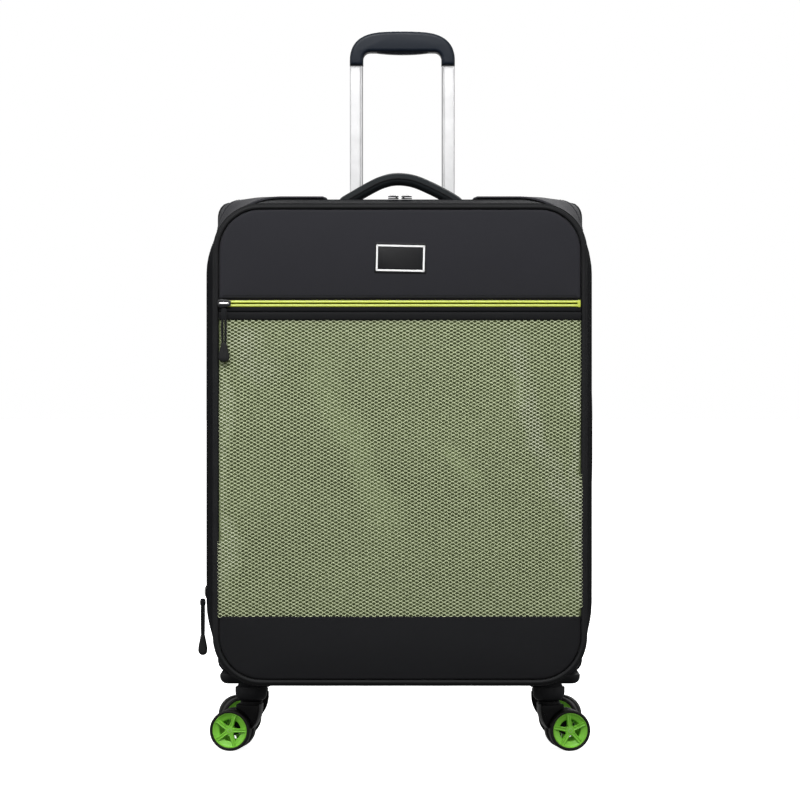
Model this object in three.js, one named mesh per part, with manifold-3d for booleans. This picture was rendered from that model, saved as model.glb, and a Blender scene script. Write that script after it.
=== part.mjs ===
// Softside upright suitcase: a fabric tub with a side-hinged lid on an expanding front frame, a two-stage
// trolley handle with a squeeze trigger, a top and a side carry handle, and four twin-wheel swivel casters.
// Millimetres, +Z up. The front (lid) faces -Y, and the origin is on the floor under the middle of the case.
import * as THREE from "three";
import { mergeVertices } from "three/addons/utils/BufferGeometryUtils.js";
import Module from "manifold-3d";

const wasm = await Module();
wasm.setup();

// ---- Driving dimensions ------------------------------------------------------------------------
const GAP = 0.3; // clearance between pieces that touch on the real object
const CORNER_STEPS = 6; // facets in each rounded corner of an outline

// Depths, from the front face to the back.
const FRONT_Y = -140; // outer face of the lid's panels
const ZIP_Y = -93; // main zipper, between the lid and the front frame
const SPLIT_Y = -68; // expander zipper, between the front frame and the body
const REAR_Y = 132; // back edge of the body's side wall
const BACK_Y = 138; // outer face of the back panel

// Outlines across the case: half width, lowest and highest z, corner radius at the top and the bottom.
// Where a corner is taller than it is wide, rise and fall are its height at the top and the bottom.
const PANEL = { w: 217.3, low: 92.4, high: 656.6, top: 50, bottom: 52 };
const PIPE = { w: 220.5, low: 89.2, high: 659.8, top: 53, bottom: 55 };
const LID_FRONT = { w: 223.2, low: 86.4, high: 662.4, top: 56, bottom: 58 };
const LID_REAR = { w: 234, low: 80.8, high: 671.5, top: 90, bottom: 100 };
const FRAME_REAR = { w: 234, low: 79.6, high: 672, top: 88, bottom: 100 };
const BODY_FRONT = { w: 233.6, low: 78.6, high: 677, top: 88, bottom: 100, notch: 5 };
const BODY_MID = { w: 233.6, low: 78, high: 681, top: 62, rise: 84, bottom: 66, fall: 84, notch: 9 };
const BODY_SHOULDER = { w: 233.6, low: 78, high: 681, top: 27, rise: 60, bottom: 27, fall: 64, notch: 9 };
const BODY_REAR = { w: 233.5, low: 78, high: 681, top: 13, rise: 18, bottom: 14, notch: 9 };
const NOTCH_HALF = 87; // half width of the lowered middle of the top, which holds both handles
const WALL = 3; // fabric, foam and board together

// Bands of the lid's front, from the top edge down.
const POCKET_TOP = 549.2; // upper edge of the pocket zipper
const MESH_TOP = 525;
const MESH_BOTTOM = 168.2;

// Trolley: three tubes on each side, one inside the other. Sizes are [width, depth, wall].
const TROLLEY_Y = 105;
const TROLLEY_X = 3; // the trolley stands a little off the middle
const TUBE_X = 58.7;
const OUTER_TUBE = { size: [25.4, 21.2, 1.2], low: 88, high: 645 };
const MIDDLE_TUBE = { size: [21, 16.8, 1.1], low: 92, high: 652.2 };
const UPPER_TUBE = { size: [16.6, 12.4, 1], low: 300, high: 855.7 };
const GRIP = { half: 67.2, legInner: 50, corner: 9, low: 856, under: 872.9, high: 899.4, depth: 27 };

// Casters.
const WHEEL_R = 25;
const WHEEL_WIDTH = 16.5;
const WHEEL_OFFSET = 12.75; // from the fork's middle plane to a wheel's middle
const HUB_R = 21.4;
const AXLE_R = 2.5;
const TRAIL = 23; // from the swivel axis to the axle
const CASTER_X = 182;
const FRONT_CASTER_Y = -68;
const REAR_CASTER_Y = 98;
const CUP_LOW = 60.6; // underside of a caster's cup
const HOUSING_HIGH = 77.4; // top of the housings and the base plate, just under the body
const FRONT_YAW = 9; // degrees a caster's fork is turned from straight out to the side
const REAR_YAW = -12;

// ---- Colours -----------------------------------------------------------------------------------
const CHARCOAL = 0x2b2c30;
const BLACK = 0x141516;
const SLATE = 0x2b3038;
const SILVER = 0xd9dadb;
const SAGE = 0x96a573;
const LIME = 0xc9d64a;
const GREEN = 0x64b92d;

const suitcase = new THREE.Group();

function place(name, geometry, color, roughness, metalness = 0, group = suitcase) {
  const material = new THREE.MeshStandardMaterial({ color, roughness, metalness });
  const mesh = new THREE.Mesh(geometry, material);
  mesh.name = name;
  group.add(mesh);
  return mesh;
}

// ---- Geometry helpers --------------------------------------------------------------------------
function solid(geometry) {
  const bare = geometry.index ? geometry.toNonIndexed() : geometry.clone();
  for (const key of Object.keys(bare.attributes)) {
    if (key !== "position") bare.deleteAttribute(key);
  }
  const merged = mergeVertices(bare, 1e-3);
  const mesh = new wasm.Mesh({
    numProp: 3,
    vertProperties: merged.attributes.position.array,
    triVerts: new Uint32Array(merged.index.array),
  });
  return new wasm.Manifold(mesh);
}

function geometryOf(manifold) {
  const mesh = manifold.getMesh();
  const geometry = new THREE.BufferGeometry();
  geometry.setAttribute("position", new THREE.BufferAttribute(new Float32Array(mesh.vertProperties), 3));
  geometry.setIndex(new THREE.BufferAttribute(new Uint32Array(mesh.triVerts), 1));
  return geometry;
}

function join(...geometries) {
  return geometryOf(geometries.map(solid).reduce((a, b) => a.add(b)));
}

function cut(geometry, ...tools) {
  return geometryOf(tools.map(solid).reduce((a, b) => a.subtract(b), solid(geometry)));
}

function box(x0, x1, y0, y1, z0, z1) {
  const geometry = new THREE.BoxGeometry(x1 - x0, y1 - y0, z1 - z0);
  return geometry.translate((x0 + x1) / 2, (y0 + y1) / 2, (z0 + z1) / 2);
}

// A rounded outline across the case as [x, z] points, anticlockwise from the right side's lower end.
function outline({ w, low, high, top, bottom, rise = top, fall = bottom, notch = 0 }) {
  const points = [];
  const corner = (cx, cz, rx, rz, from) => {
    for (let i = 0; i <= CORNER_STEPS; i++) {
      const a = from + (i / CORNER_STEPS) * (Math.PI / 2);
      points.push([cx + rx * Math.cos(a), cz + rz * Math.sin(a)]);
    }
  };
  corner(w - top, high - rise, top, rise, 0);
  if (notch) {
    points.push([NOTCH_HALF, high], [NOTCH_HALF - 3, high - notch]);
    points.push([3 - NOTCH_HALF, high - notch], [-NOTCH_HALF, high]);
  }
  corner(top - w, high - rise, top, rise, Math.PI / 2);
  corner(bottom - w, low + fall, bottom, fall, Math.PI);
  corner(w - bottom, low + fall, bottom, fall, 1.5 * Math.PI);
  return points;
}

// The outline moved inwards by d.
function inset(o, d) {
  const { top, bottom, rise = top, fall = bottom, notch } = o;
  const shrunk = { w: o.w - d, low: o.low + d, high: o.high - d, top: top - d, bottom: bottom - d };
  return { ...shrunk, rise: rise - d, fall: fall - d, notch };
}

// A closed surface through outlines at their own depths. closed joins the last outline to the first, as
// in a hoop; otherwise the first and the last outline are filled.
function loft(sections, closed) {
  const rings = sections.map(({ y, ...o }) => outline(o).map(([x, z]) => new THREE.Vector3(x, y, z)));
  const count = rings[0].length;
  const positions = [];
  const index = [];
  rings.forEach((ring) => ring.forEach((p) => positions.push(p.x, p.y, p.z)));
  const last = closed ? rings.length : rings.length - 1;
  for (let s = 0; s < last; s++) {
    const a = s * count;
    const b = ((s + 1) % rings.length) * count;
    for (let i = 0; i < count; i++) {
      const j = (i + 1) % count;
      index.push(a + i, b + i, b + j, a + i, b + j, a + j);
    }
  }
  if (!closed) {
    const fill = (ring, start, flip) => {
      const flat = ring.map((p) => new THREE.Vector2(p.x, p.z));
      for (const [i, j, k] of THREE.ShapeUtils.triangulateShape(flat, [])) {
        index.push(start + i, start + (flip ? k : j), start + (flip ? j : k));
      }
    };
    fill(rings[0], 0, false);
    fill(rings[rings.length - 1], (rings.length - 1) * count, true);
  }
  const geometry = new THREE.BufferGeometry();
  geometry.setAttribute("position", new THREE.Float32BufferAttribute(positions, 3));
  geometry.setIndex(index);
  return facingOut(geometry);
}

function facingOut(geometry) {
  const p = geometry.attributes.position;
  const index = geometry.index.array;
  const [a, b, c] = [new THREE.Vector3(), new THREE.Vector3(), new THREE.Vector3()];
  let volume = 0;
  for (let i = 0; i < index.length; i += 3) {
    a.fromBufferAttribute(p, index[i]);
    b.fromBufferAttribute(p, index[i + 1]);
    c.fromBufferAttribute(p, index[i + 2]);
    volume += a.dot(b.cross(c));
  }
  if (volume < 0) {
    for (let i = 0; i < index.length; i += 3) [index[i], index[i + 1]] = [index[i + 1], index[i]];
  }
  return geometry;
}

// A hoop of even thickness between two depths. Each station is an outline with its depth.
function hoop(stations, thickness) {
  const inner = stations.map(({ y, ...o }) => ({ y, ...inset(o, thickness) })).reverse();
  return loft([...stations, ...inner], true);
}

// A hoop of round section, as a piping is.
function pipe(o, y, radius, sides) {
  const sections = [];
  for (let i = 0; i < sides; i++) {
    const a = (i / sides) * 2 * Math.PI;
    sections.push({ y: y + radius * Math.sin(a), ...inset(o, radius * Math.cos(a)) });
  }
  return loft(sections, true);
}

// A flat shape in x and z, thickened from y0 back to y1.
function slab(shape, y0, y1, curveSegments = 8) {
  const geometry = new THREE.ExtrudeGeometry(shape, { depth: y1 - y0, bevelEnabled: false, curveSegments });
  return geometry.rotateX(Math.PI / 2).translate(0, y1, 0);
}

function shapeOf(points) {
  return new THREE.Shape(points.map(([x, y]) => new THREE.Vector2(x, y)));
}

// A rectangle with rounded corners about (cx, cy).
function roundedRectangle(width, height, r, cx = 0, cy = 0) {
  const shape = new THREE.Shape();
  const x = width / 2 - r;
  const y = height / 2 - r;
  shape.absarc(cx + x, cy - y, r, -Math.PI / 2, 0);
  shape.absarc(cx + x, cy + y, r, 0, Math.PI / 2);
  shape.absarc(cx - x, cy + y, r, Math.PI / 2, Math.PI);
  shape.absarc(cx - x, cy - y, r, Math.PI, 1.5 * Math.PI);
  shape.closePath();
  return shape;
}

// An upright bar or tube with rounded edges.
function upright(width, depth, r, low, high, x, y, wall = 0) {
  const shape = roundedRectangle(width, depth, r);
  if (wall) shape.holes.push(roundedRectangle(width - 2 * wall, depth - 2 * wall, r - wall));
  const geometry = new THREE.ExtrudeGeometry(shape, { depth: high - low, bevelEnabled: false, curveSegments: 3 });
  return geometry.translate(x, y, low);
}

function cylinder(r, low, high, x = 0, y = 0, sides = 20, rLow = r) {
  const geometry = new THREE.CylinderGeometry(r, rLow, high - low, sides);
  return geometry.rotateX(Math.PI / 2).translate(x, y, (low + high) / 2);
}

// ---- Lid: a stiff tray under fabric panels -----------------------------------------------------
function buildLid() {
  const shell = loft(
    [
      { y: FRONT_Y + 6.5, ...inset(LID_FRONT, 9) },
      { y: FRONT_Y + 12, ...inset(LID_FRONT, 3) },
      { y: ZIP_Y - 1.3, ...inset(LID_REAR, WALL) },
      { y: ZIP_Y - 1.3, ...LID_REAR },
      { y: FRONT_Y + 6, ...LID_FRONT },
      { y: FRONT_Y + 6, ...PANEL },
      { y: FRONT_Y + 3, ...PANEL },
    ],
    false,
  );
  place("lid_shell", shell, CHARCOAL, 0.8);
  place("lid_piping", pipe(PIPE, FRONT_Y + 2.6, 2.9, 6), BLACK, 0.6);

  // The panels are one face cut into bands.
  const face = loft(
    [
      { y: FRONT_Y, ...PANEL },
      { y: FRONT_Y + 2.7, ...PANEL },
    ],
    false,
  );
  const band = (low, high) => geometryOf(solid(face).intersect(solid(box(-300, 300, -200, 0, low, high))));
  place("upper_panel", band(POCKET_TOP + GAP, 700), CHARCOAL, 0.75);
  place("pocket_zipper", band(MESH_TOP + GAP, POCKET_TOP), LIME, 0.45);
  place("mesh_panel", band(MESH_BOTTOM + GAP, MESH_TOP), SAGE, 0.6);
  place("lower_panel", band(0, MESH_BOTTOM), CHARCOAL, 0.75);

  const badge = new THREE.Group();
  badge.position.set(0.5, FRONT_Y - GAP, 598);
  badge.rotation.y = THREE.MathUtils.degToRad(1.2);
  suitcase.add(badge);
  place("badge", slab(roundedRectangle(63, 37, 2.5), -2.6, 0, 3), BLACK, 0.35, 0, badge);
}

// ---- Front frame and body ----------------------------------------------------------------------
function buildBody() {
  const frameFront = { y: ZIP_Y + 1.3, ...LID_REAR };
  const frameRear = { y: SPLIT_Y - 1.3, ...FRAME_REAR };
  place("front_band", hoop([frameFront, frameRear], WALL), CHARCOAL, 0.8);
  const zipFront = { y: ZIP_Y - 1, ...inset(LID_REAR, 0.8) };
  const zipRear = { y: ZIP_Y + 1, ...inset(LID_REAR, 0.8) };
  place("main_zipper", hoop([zipFront, zipRear], 2), BLACK, 0.5);
  const splitFront = { y: SPLIT_Y - 1, ...inset(FRAME_REAR, 0.8) };
  const splitRear = { y: SPLIT_Y + 1, ...inset(FRAME_REAR, 0.8) };
  place("expander_zipper", hoop([splitFront, splitRear], 2), BLACK, 0.5);

  const tub = hoop(
    [
      { y: SPLIT_Y + 1.3, ...BODY_FRONT },
      { y: 0, ...BODY_MID },
      { y: 60, ...BODY_SHOULDER },
      { y: REAR_Y - GAP, ...BODY_REAR },
    ],
    WALL,
  );
  const cupHole = box(-76.5, 76.5, 85.5, 124.5, 640, 700);
  place("body_gusset", cut(tub, cupHole), CHARCOAL, 0.8);
  const back = loft(
    [
      { y: REAR_Y, ...BODY_REAR },
      { y: BACK_Y, ...BODY_REAR },
    ],
    false,
  );
  place("back_panel", back, CHARCOAL, 0.8);
}

// ---- Trolley -----------------------------------------------------------------------------------
// The lining board inside the back, raised over each tube into a ridge.
function channelSection() {
  const [flat, ridge, between] = [128.6, 88, 112];
  const near = [
    [-229, flat],
    [-88, flat],
    [-76, ridge],
    [-41, ridge],
    [-32, between],
  ];
  const front = [...near, ...near.map(([x, y]) => [-x, y]).reverse()];
  return shapeOf([...front, ...front.map(([x, y]) => [x, y + 2.4]).reverse()]);
}

function buildTrolley() {
  const channel = new THREE.ExtrudeGeometry(channelSection(), { depth: 541, bevelEnabled: false });
  place("trolley_channel", channel.translate(0, 0, 98), CHARCOAL, 0.85);

  const sides = { left: TROLLEY_X - TUBE_X, right: TROLLEY_X + TUBE_X };
  for (const [side, x] of Object.entries(sides)) {
    const tube = ({ size: [width, depth, wall], low, high }) =>
      upright(width, depth, 5.5, low, high, x, TROLLEY_Y, wall);
    place(`outer_tube_${side}`, tube(OUTER_TUBE), SILVER, 0.35, 0.9);
    place(`middle_tube_${side}`, tube(MIDDLE_TUBE), SILVER, 0.3, 0.95);
    place(`upper_tube_${side}`, tube(UPPER_TUBE), SILVER, 0.3, 0.95);
  }

  // The cup sunk into the top: a flange on the fabric, a pocket for the grip and a hole for each tube.
  const notchTop = BODY_MID.high - BODY_MID.notch;
  const flange = upright(166, 46, 10, notchTop + GAP, notchTop + 3, 0, TROLLEY_Y);
  const pocket = upright(152, 38, 8, 644, notchTop + 1, 0, TROLLEY_Y);
  const hollow = upright(146, 32, 6, 648, 700, 0, TROLLEY_Y);
  const holes = Object.values(sides).map((x) => upright(21.8, 17.6, 5.5, 630, 660, x, TROLLEY_Y));
  const seats = Object.values(sides).map((x) => upright(26.2, 22, 5.5, 640, 645.6, x, TROLLEY_Y));
  const cup = cut(join(flange, pocket), hollow, ...holes, ...seats);
  place("trolley_cup", cup, BLACK, 0.5);
  const bar = box(-80, 80, 91, 119, 82, 87.7);
  place("trolley_foot", bar, BLACK, 0.6);

  // The grip is a U with a spigot in each tube and a slot for the trigger.
  const shape = new THREE.Shape();
  shape.moveTo(-GRIP.half, GRIP.low);
  shape.lineTo(-GRIP.half, GRIP.low + 6);
  shape.bezierCurveTo(-GRIP.half, 885, -53, 897, -26, 898.6);
  shape.quadraticCurveTo(0, 900.2, 26, 898.6);
  shape.bezierCurveTo(53, 897, GRIP.half, 885, GRIP.half, GRIP.low + 6);
  shape.lineTo(GRIP.half, GRIP.low);
  shape.lineTo(GRIP.legInner, GRIP.low);
  const [bend, level] = [GRIP.legInner - GRIP.corner, GRIP.under - GRIP.corner];
  shape.lineTo(GRIP.legInner, level);
  shape.absarc(bend, level, GRIP.corner, 0, Math.PI / 2);
  shape.lineTo(-bend, GRIP.under);
  shape.absarc(-bend, level, GRIP.corner, Math.PI / 2, Math.PI);
  shape.lineTo(-GRIP.legInner, GRIP.low);
  const half = GRIP.depth / 2;
  const bow = slab(shape, TROLLEY_Y - half, TROLLEY_Y + half, 6).translate(TROLLEY_X, 0, 0);
  const spigots = Object.values(sides).map((x) => upright(13.4, 9.2, 3.5, 836, GRIP.low + 1, x, TROLLEY_Y));
  const slot = box(-33.3, 33.3, TROLLEY_Y - 8.3, TROLLEY_Y + 8.3, 860, 888).translate(TROLLEY_X, 0, 0);
  place("grip", cut(join(bow, ...spigots), slot), SLATE, 0.45);
  const trigger = upright(65, 15.4, 5, 870.7, 882, TROLLEY_X, TROLLEY_Y);
  place("trigger", trigger, BLACK, 0.5);
}

// ---- Carry handles -----------------------------------------------------------------------------
// A strap swept along points in x and z at one depth, with an oval section, cut flat where it is sewn on.
function strap(points, width, thickness, y, cutter) {
  const route = new THREE.CatmullRomCurve3(points.map(([x, z]) => new THREE.Vector3(x, y, z)));
  const section = new THREE.Shape();
  section.absellipse(0, 0, width / 2, thickness / 2, 0, 2 * Math.PI);
  const swept = new THREE.ExtrudeGeometry(section, { steps: 20, curveSegments: 6, extrudePath: route });
  const upturned = facingOut(mergeVertices(bareCopy(swept), 1e-3));
  return cut(upturned, cutter);
}

function bareCopy(geometry) {
  const bare = geometry.clone();
  bare.deleteAttribute("normal");
  bare.deleteAttribute("uv");
  return bare;
}

function buildHandles() {
  const seat = BODY_MID.high - BODY_MID.notch + GAP;
  const arch = [
    [-80, 655],
    [-75, 667],
    [-66, 675.5],
    [-56, 682],
    [-40, 691.5],
    [-23, 699.8],
    [-5, 703.8],
    [16, 701.6],
    [38, 692.8],
    [58, 682.5],
    [68, 676],
    [76, 667],
    [81, 655],
  ];
  const below = box(-200, 200, -100, 100, 600, seat);
  place("carry_handle", strap(arch, 26, 14.6, 10, below), BLACK, 0.75);

  const reach = BODY_MID.w + GAP;
  const bow = [
    [reach - 6, 262],
    [reach + 1, 290],
    [reach + 6.6, 325],
    [reach + 7, 380],
    [reach + 6.6, 435],
    [reach + 1, 470],
    [reach - 6, 498],
  ];
  const within = box(0, reach, -100, 200, 100, 700);
  place("side_handle", strap(bow, 30, 4, 58, within), BLACK, 0.75);
}

// ---- Zipper sliders and their pullers ----------------------------------------------------------
function pullerShape(top, bottom, cordHalf, endHalf) {
  const shape = new THREE.Shape();
  shape.moveTo(-cordHalf, top);
  shape.lineTo(-cordHalf, bottom + 24);
  shape.bezierCurveTo(-cordHalf, bottom + 20, -endHalf, bottom + 14, -endHalf, bottom + 6);
  shape.quadraticCurveTo(-endHalf, bottom, 0, bottom);
  shape.quadraticCurveTo(endHalf, bottom, endHalf, bottom + 6);
  shape.bezierCurveTo(endHalf, bottom + 14, cordHalf, bottom + 20, cordHalf, bottom + 24);
  shape.lineTo(cordHalf, top);
  return shape;
}

// A puller hangs down along z. Its top end is rounded about the pivot, whose axis lies along x, or else y.
function puller(pivot, bottom, cordHalf, endHalf, half, alongX) {
  const hanging = slab(pullerShape(pivot + 0.2, bottom, cordHalf, endHalf), -half, half, 4);
  const [r, reach] = (alongX ? [half, cordHalf] : [cordHalf, half]).map((v, i) => v - (i ? 0.1 : 0.05));
  const pin = cylinder(r, -reach, reach, 0, 0, 14);
  const knuckle = alongX ? pin.rotateY(Math.PI / 2) : pin.rotateX(Math.PI / 2);
  return join(hanging, knuckle.translate(0, 0, pivot));
}

function buildSliders() {
  // Pocket zipper: slider at the left end, puller hanging in front of the mesh.
  const pocketX = -211;
  place("pocket_slider", box(pocketX - 8, pocketX + 8, FRONT_Y - 5.5, FRONT_Y - GAP, 538.5, 549), SILVER, 0.3, 0.9);
  const pocketPuller = puller(535.4, 473, 3.2, 6.6, 2.6, true);
  place("pocket_puller", pocketPuller.translate(pocketX, FRONT_Y - 4.8, 0), BLACK, 0.6);

  // Main zipper: two sliders that meet at the middle of the top, each with its tab laid backwards.
  const top = LID_REAR.high + 0.8;
  for (const [side, sign] of Object.entries({ left: -1, right: 1 })) {
    const [near, far] = [sign * 1.5, sign * 14.5].sort((a, b) => a - b);
    const tab = [near + 2, far - 2];
    const body = box(near, far, ZIP_Y - 5, ZIP_Y + 4, top, top + 5.4);
    const tongue = box(tab[0], tab[1], ZIP_Y + 3, ZIP_Y + 20, top + 3.4, top + 5.4);
    place(`main_slider_${side}`, join(body, tongue), SILVER, 0.35, 0.9);
  }

  // Expander zipper: slider low on the left side, puller hanging beside it.
  const side = -FRAME_REAR.w - GAP;
  place("expander_slider", box(side - 5.2, side, SPLIT_Y - 5, SPLIT_Y + 5, 186, 201), SILVER, 0.35, 0.9);
  const hanging = puller(182.5, 115.4, 2.6, 5.8, 2.6, false);
  place("expander_puller", hanging.translate(side - 7, SPLIT_Y, 0), BLACK, 0.6);
}

// ---- Base and casters --------------------------------------------------------------------------
function turned(profile, sides) {
  const geometry = new THREE.LatheGeometry(profile.map(([r, h]) => new THREE.Vector2(r, h)), sides);
  return facingOut(mergeVertices(bareCopy(geometry), 1e-3));
}

function forkGeometry() {
  // In the fork's own frame the swivel axis is z, the wheels trail towards +x and the axle lies along y.
  const stem = cylinder(6, 55, 74, 0, 0, 14);
  const plate = cylinder(16.5, 55.4, CUP_LOW - GAP - 0.1, 0, 0, 16);
  const hood = new THREE.Shape();
  hood.moveTo(-12.4, 56.5);
  hood.lineTo(-12.4, 50);
  hood.quadraticCurveTo(-11.5, 36, -3.2, 27);
  hood.absarc(TRAIL, WHEEL_R, 26.2, THREE.MathUtils.degToRad(176), THREE.MathUtils.degToRad(104), true);
  hood.lineTo(16, 56.5);
  const rib = new THREE.Shape();
  rib.moveTo(-8, 56);
  rib.quadraticCurveTo(-6, 34, 17, 19);
  rib.absarc(TRAIL, WHEEL_R, 7.5, THREE.MathUtils.degToRad(225), THREE.MathUtils.degToRad(405));
  rib.lineTo(15, 56);
  const cheek = slab(hood, -15, 15, 4);
  const web = slab(rib, -3.9, 3.9, 4);
  const axleHole = new THREE.CylinderGeometry(AXLE_R + 0.3, AXLE_R + 0.3, 20, 12).translate(TRAIL, 0, WHEEL_R);
  return cut(join(stem, plate, cheek, web), axleHole);
}

function buildCaster(label, x, y, yaw) {
  const swivel = new THREE.Group();
  swivel.position.set(x, y, 0);
  swivel.rotation.z = THREE.MathUtils.degToRad(yaw);
  suitcase.add(swivel);
  place(`fork_${label}`, forkGeometry(), BLACK, 0.55, 0, swivel);
  const axle = new THREE.CylinderGeometry(AXLE_R, AXLE_R, 40, 12).translate(TRAIL, 0, WHEEL_R);
  place(`axle_${label}`, axle, SILVER, 0.35, 0.9, swivel);

  const half = WHEEL_WIDTH / 2;
  const tread = [
    [HUB_R + GAP, -half + 0.8],
    [WHEEL_R - 2, -half],
    [WHEEL_R, -half + 3],
    [WHEEL_R, half - 3],
    [WHEEL_R - 2, half],
    [HUB_R + GAP, half - 0.8],
    [HUB_R + GAP, -half + 0.8],
  ];
  const hub = [
    [AXLE_R + 0.4, -half + 1.2],
    [7, -half + 1.2],
    [HUB_R, -half + 1.2],
    [HUB_R, half - 1.2],
    [7, half - 1.2],
    [AXLE_R + 0.4, half - 1.2],
    [AXLE_R + 0.4, -half + 1.2],
  ];
  for (const [side, sign] of Object.entries({ a: -1, b: 1 })) {
    const wheel = new THREE.Group();
    wheel.position.set(TRAIL, sign * WHEEL_OFFSET, WHEEL_R);
    swivel.add(wheel);
    place(`tyre_${label}_${side}`, turned(tread, 20), BLACK, 0.8, 0, wheel);
    place(`hub_${label}_${side}`, turned(hub, 16), GREEN, 0.4, 0, wheel);
  }
}

// A housing is a moulded block under the body's corner with a cup that holds the fork's stem.
function housing(x, y, block) {
  const cup = cylinder(19.6, CUP_LOW + 8, HOUSING_HIGH, x, y, 20);
  const lip = cylinder(19.6, CUP_LOW, CUP_LOW + 8, x, y, 20, 15);
  const bore = cylinder(6.5, 50, 75, x, y, 14);
  return cut(join(block, cup, lip), bore);
}

function buildBase() {
  place("base_plate", upright(290, 124, 12, 73.6, HOUSING_HIGH, 0, 66), BLACK, 0.6);
  for (const [side, sign] of Object.entries({ left: -1, right: 1 })) {
    const x = sign * CASTER_X;
    const frontBlock = upright(36, 60, 8, 70, HOUSING_HIGH, x, FRONT_CASTER_Y + 26);
    place(`front_housing_${side}`, housing(x, FRONT_CASTER_Y, frontBlock), BLACK, 0.55);
    const rearBlock = upright(76, 78, 13, 66.5, HOUSING_HIGH, sign * 190, 102);
    place(`rear_housing_${side}`, housing(x, REAR_CASTER_Y, rearBlock), BLACK, 0.55);

    const outward = sign > 0 ? 0 : 180;
    buildCaster(`front_${side}`, x, FRONT_CASTER_Y, outward + sign * FRONT_YAW);
    buildCaster(`rear_${side}`, x, REAR_CASTER_Y, outward + sign * REAR_YAW);
  }
}

buildLid();
buildBody();
buildTrolley();
buildHandles();
buildSliders();
buildBase();

export default suitcase;
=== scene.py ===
"""Softside upright suitcase: the detailed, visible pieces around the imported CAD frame.

Shapes are written in millimetres in the frame's own axes (+Z up, front towards -Y) and turned into metres
when a piece is made.
"""

import math

import bmesh
import bpy
import numpy as np
from mathutils import Matrix, Vector


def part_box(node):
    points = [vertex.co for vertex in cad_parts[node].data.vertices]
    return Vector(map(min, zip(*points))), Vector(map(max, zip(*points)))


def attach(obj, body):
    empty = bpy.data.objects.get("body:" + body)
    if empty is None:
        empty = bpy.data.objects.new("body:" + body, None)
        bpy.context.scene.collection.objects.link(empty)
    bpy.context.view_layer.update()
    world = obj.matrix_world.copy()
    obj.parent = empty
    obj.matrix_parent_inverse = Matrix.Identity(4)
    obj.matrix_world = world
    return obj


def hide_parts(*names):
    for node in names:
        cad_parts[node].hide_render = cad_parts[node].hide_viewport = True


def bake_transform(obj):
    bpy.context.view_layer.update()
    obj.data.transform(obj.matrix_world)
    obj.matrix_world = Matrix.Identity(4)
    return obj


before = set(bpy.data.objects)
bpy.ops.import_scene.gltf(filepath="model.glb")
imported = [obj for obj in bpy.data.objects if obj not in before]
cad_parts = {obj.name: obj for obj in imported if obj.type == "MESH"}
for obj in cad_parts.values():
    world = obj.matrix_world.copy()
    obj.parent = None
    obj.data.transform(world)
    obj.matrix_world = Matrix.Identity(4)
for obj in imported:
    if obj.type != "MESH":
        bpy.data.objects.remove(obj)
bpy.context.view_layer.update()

MM = 0.001


def node_box(name):
    """Lowest and highest corner of a CAD node, in millimetres."""
    low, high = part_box(name)
    return np.array(low) / MM, np.array(high) / MM


# ---- Driving dimensions, in millimetres --------------------------------------------------------------
FRONT_Y = node_box("mesh_panel")[0][1]
ZIP_Y = float(np.mean([b[1] for b in node_box("main_zipper")]))
SPLIT_Y = float(np.mean([b[1] for b in node_box("expander_zipper")]))
REAR_Y = node_box("back_panel")[0][1]
BACK_Y = node_box("back_panel")[1][1]
POCKET_TOP = node_box("pocket_zipper")[1][2]
MESH_TOP = node_box("mesh_panel")[1][2]
MESH_LOW = node_box("mesh_panel")[0][2]

PANEL = dict(w=217.3, low=92.4, high=656.6, top=50, bottom=52)
PIPE = dict(w=220.5, low=89.2, high=659.8, top=53, bottom=55)
LID_FRONT = dict(w=223.2, low=86.4, high=662.4, top=56, bottom=58)
# The ring behind the lid sits 1 mm left of its solids, and about 1 mm higher at the bottom.
LID_REAR = dict(w=234, low=81.9, high=671.5, top=90, bottom=100, shift=-1)
FRAME_REAR = dict(w=234, low=80.4, high=672, top=88, bottom=100, shift=-1)
BODY_FRONT = dict(w=233.6, low=78.6, high=677, top=88, bottom=100, notch=5)
BODY_MID = dict(w=233.6, low=78, high=681, top=62, rise=84, bottom=66, fall=84, notch=9)
BODY_SHOULDER = dict(w=233.6, low=78, high=681, top=27, rise=60, bottom=27, fall=64, notch=9)
BODY_REAR = dict(w=233.5, low=78, high=681, top=13, rise=18, bottom=14, notch=9)
SHOULDER_Y = 60
SEAM_Y = 50
NOTCH_HALF = 87
NOTCH_TOP = BODY_MID["high"] - BODY_MID["notch"]
CUP_HALF_X = 76.5
CUP_Y = (85.5, 124.5)

TROLLEY_Y = 105
TROLLEY_X = float(np.mean([b[0] for b in node_box("grip")]))
TUBE_X = 58.7
WHEEL_R = 25
WHEEL_HALF = 8.25
WHEEL_OFFSET = 12.75
HUB_R = 21.4
TRAIL = 23


# ---- Mesh helpers ------------------------------------------------------------------------------------
def quads(rows, columns, close_rows=False, close_columns=False):
    """Four-cornered faces over a grid of points."""
    r = np.arange(rows if close_rows else rows - 1)[:, None]
    c = np.arange(columns if close_columns else columns - 1)[None, :]
    down, right = (r + 1) % rows, (c + 1) % columns
    corners = (r * columns + c, r * columns + right, down * columns + right, down * columns + c)
    return np.stack([np.broadcast_to(x, (r.size, c.size)) for x in corners], -1).reshape(-1, 4)


def sheet_of(rows):
    """An open surface through rows of points."""
    rows = np.asarray(rows, float)
    return rows.reshape(-1, 3), quads(*rows.shape[:2]).tolist()


def tube_of(rings, closed=False, caps=True):
    """A surface round closed rings, capped at its two ends unless it closes on itself."""
    rings = np.asarray(rings, float)
    count, size = rings.shape[:2]
    faces = quads(count, size, closed, True).tolist()
    if caps and not closed:
        faces.append(list(range(size))[::-1])
        faces.append(list(range((count - 1) * size, count * size)))
    return rings.reshape(-1, 3), faces


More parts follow.
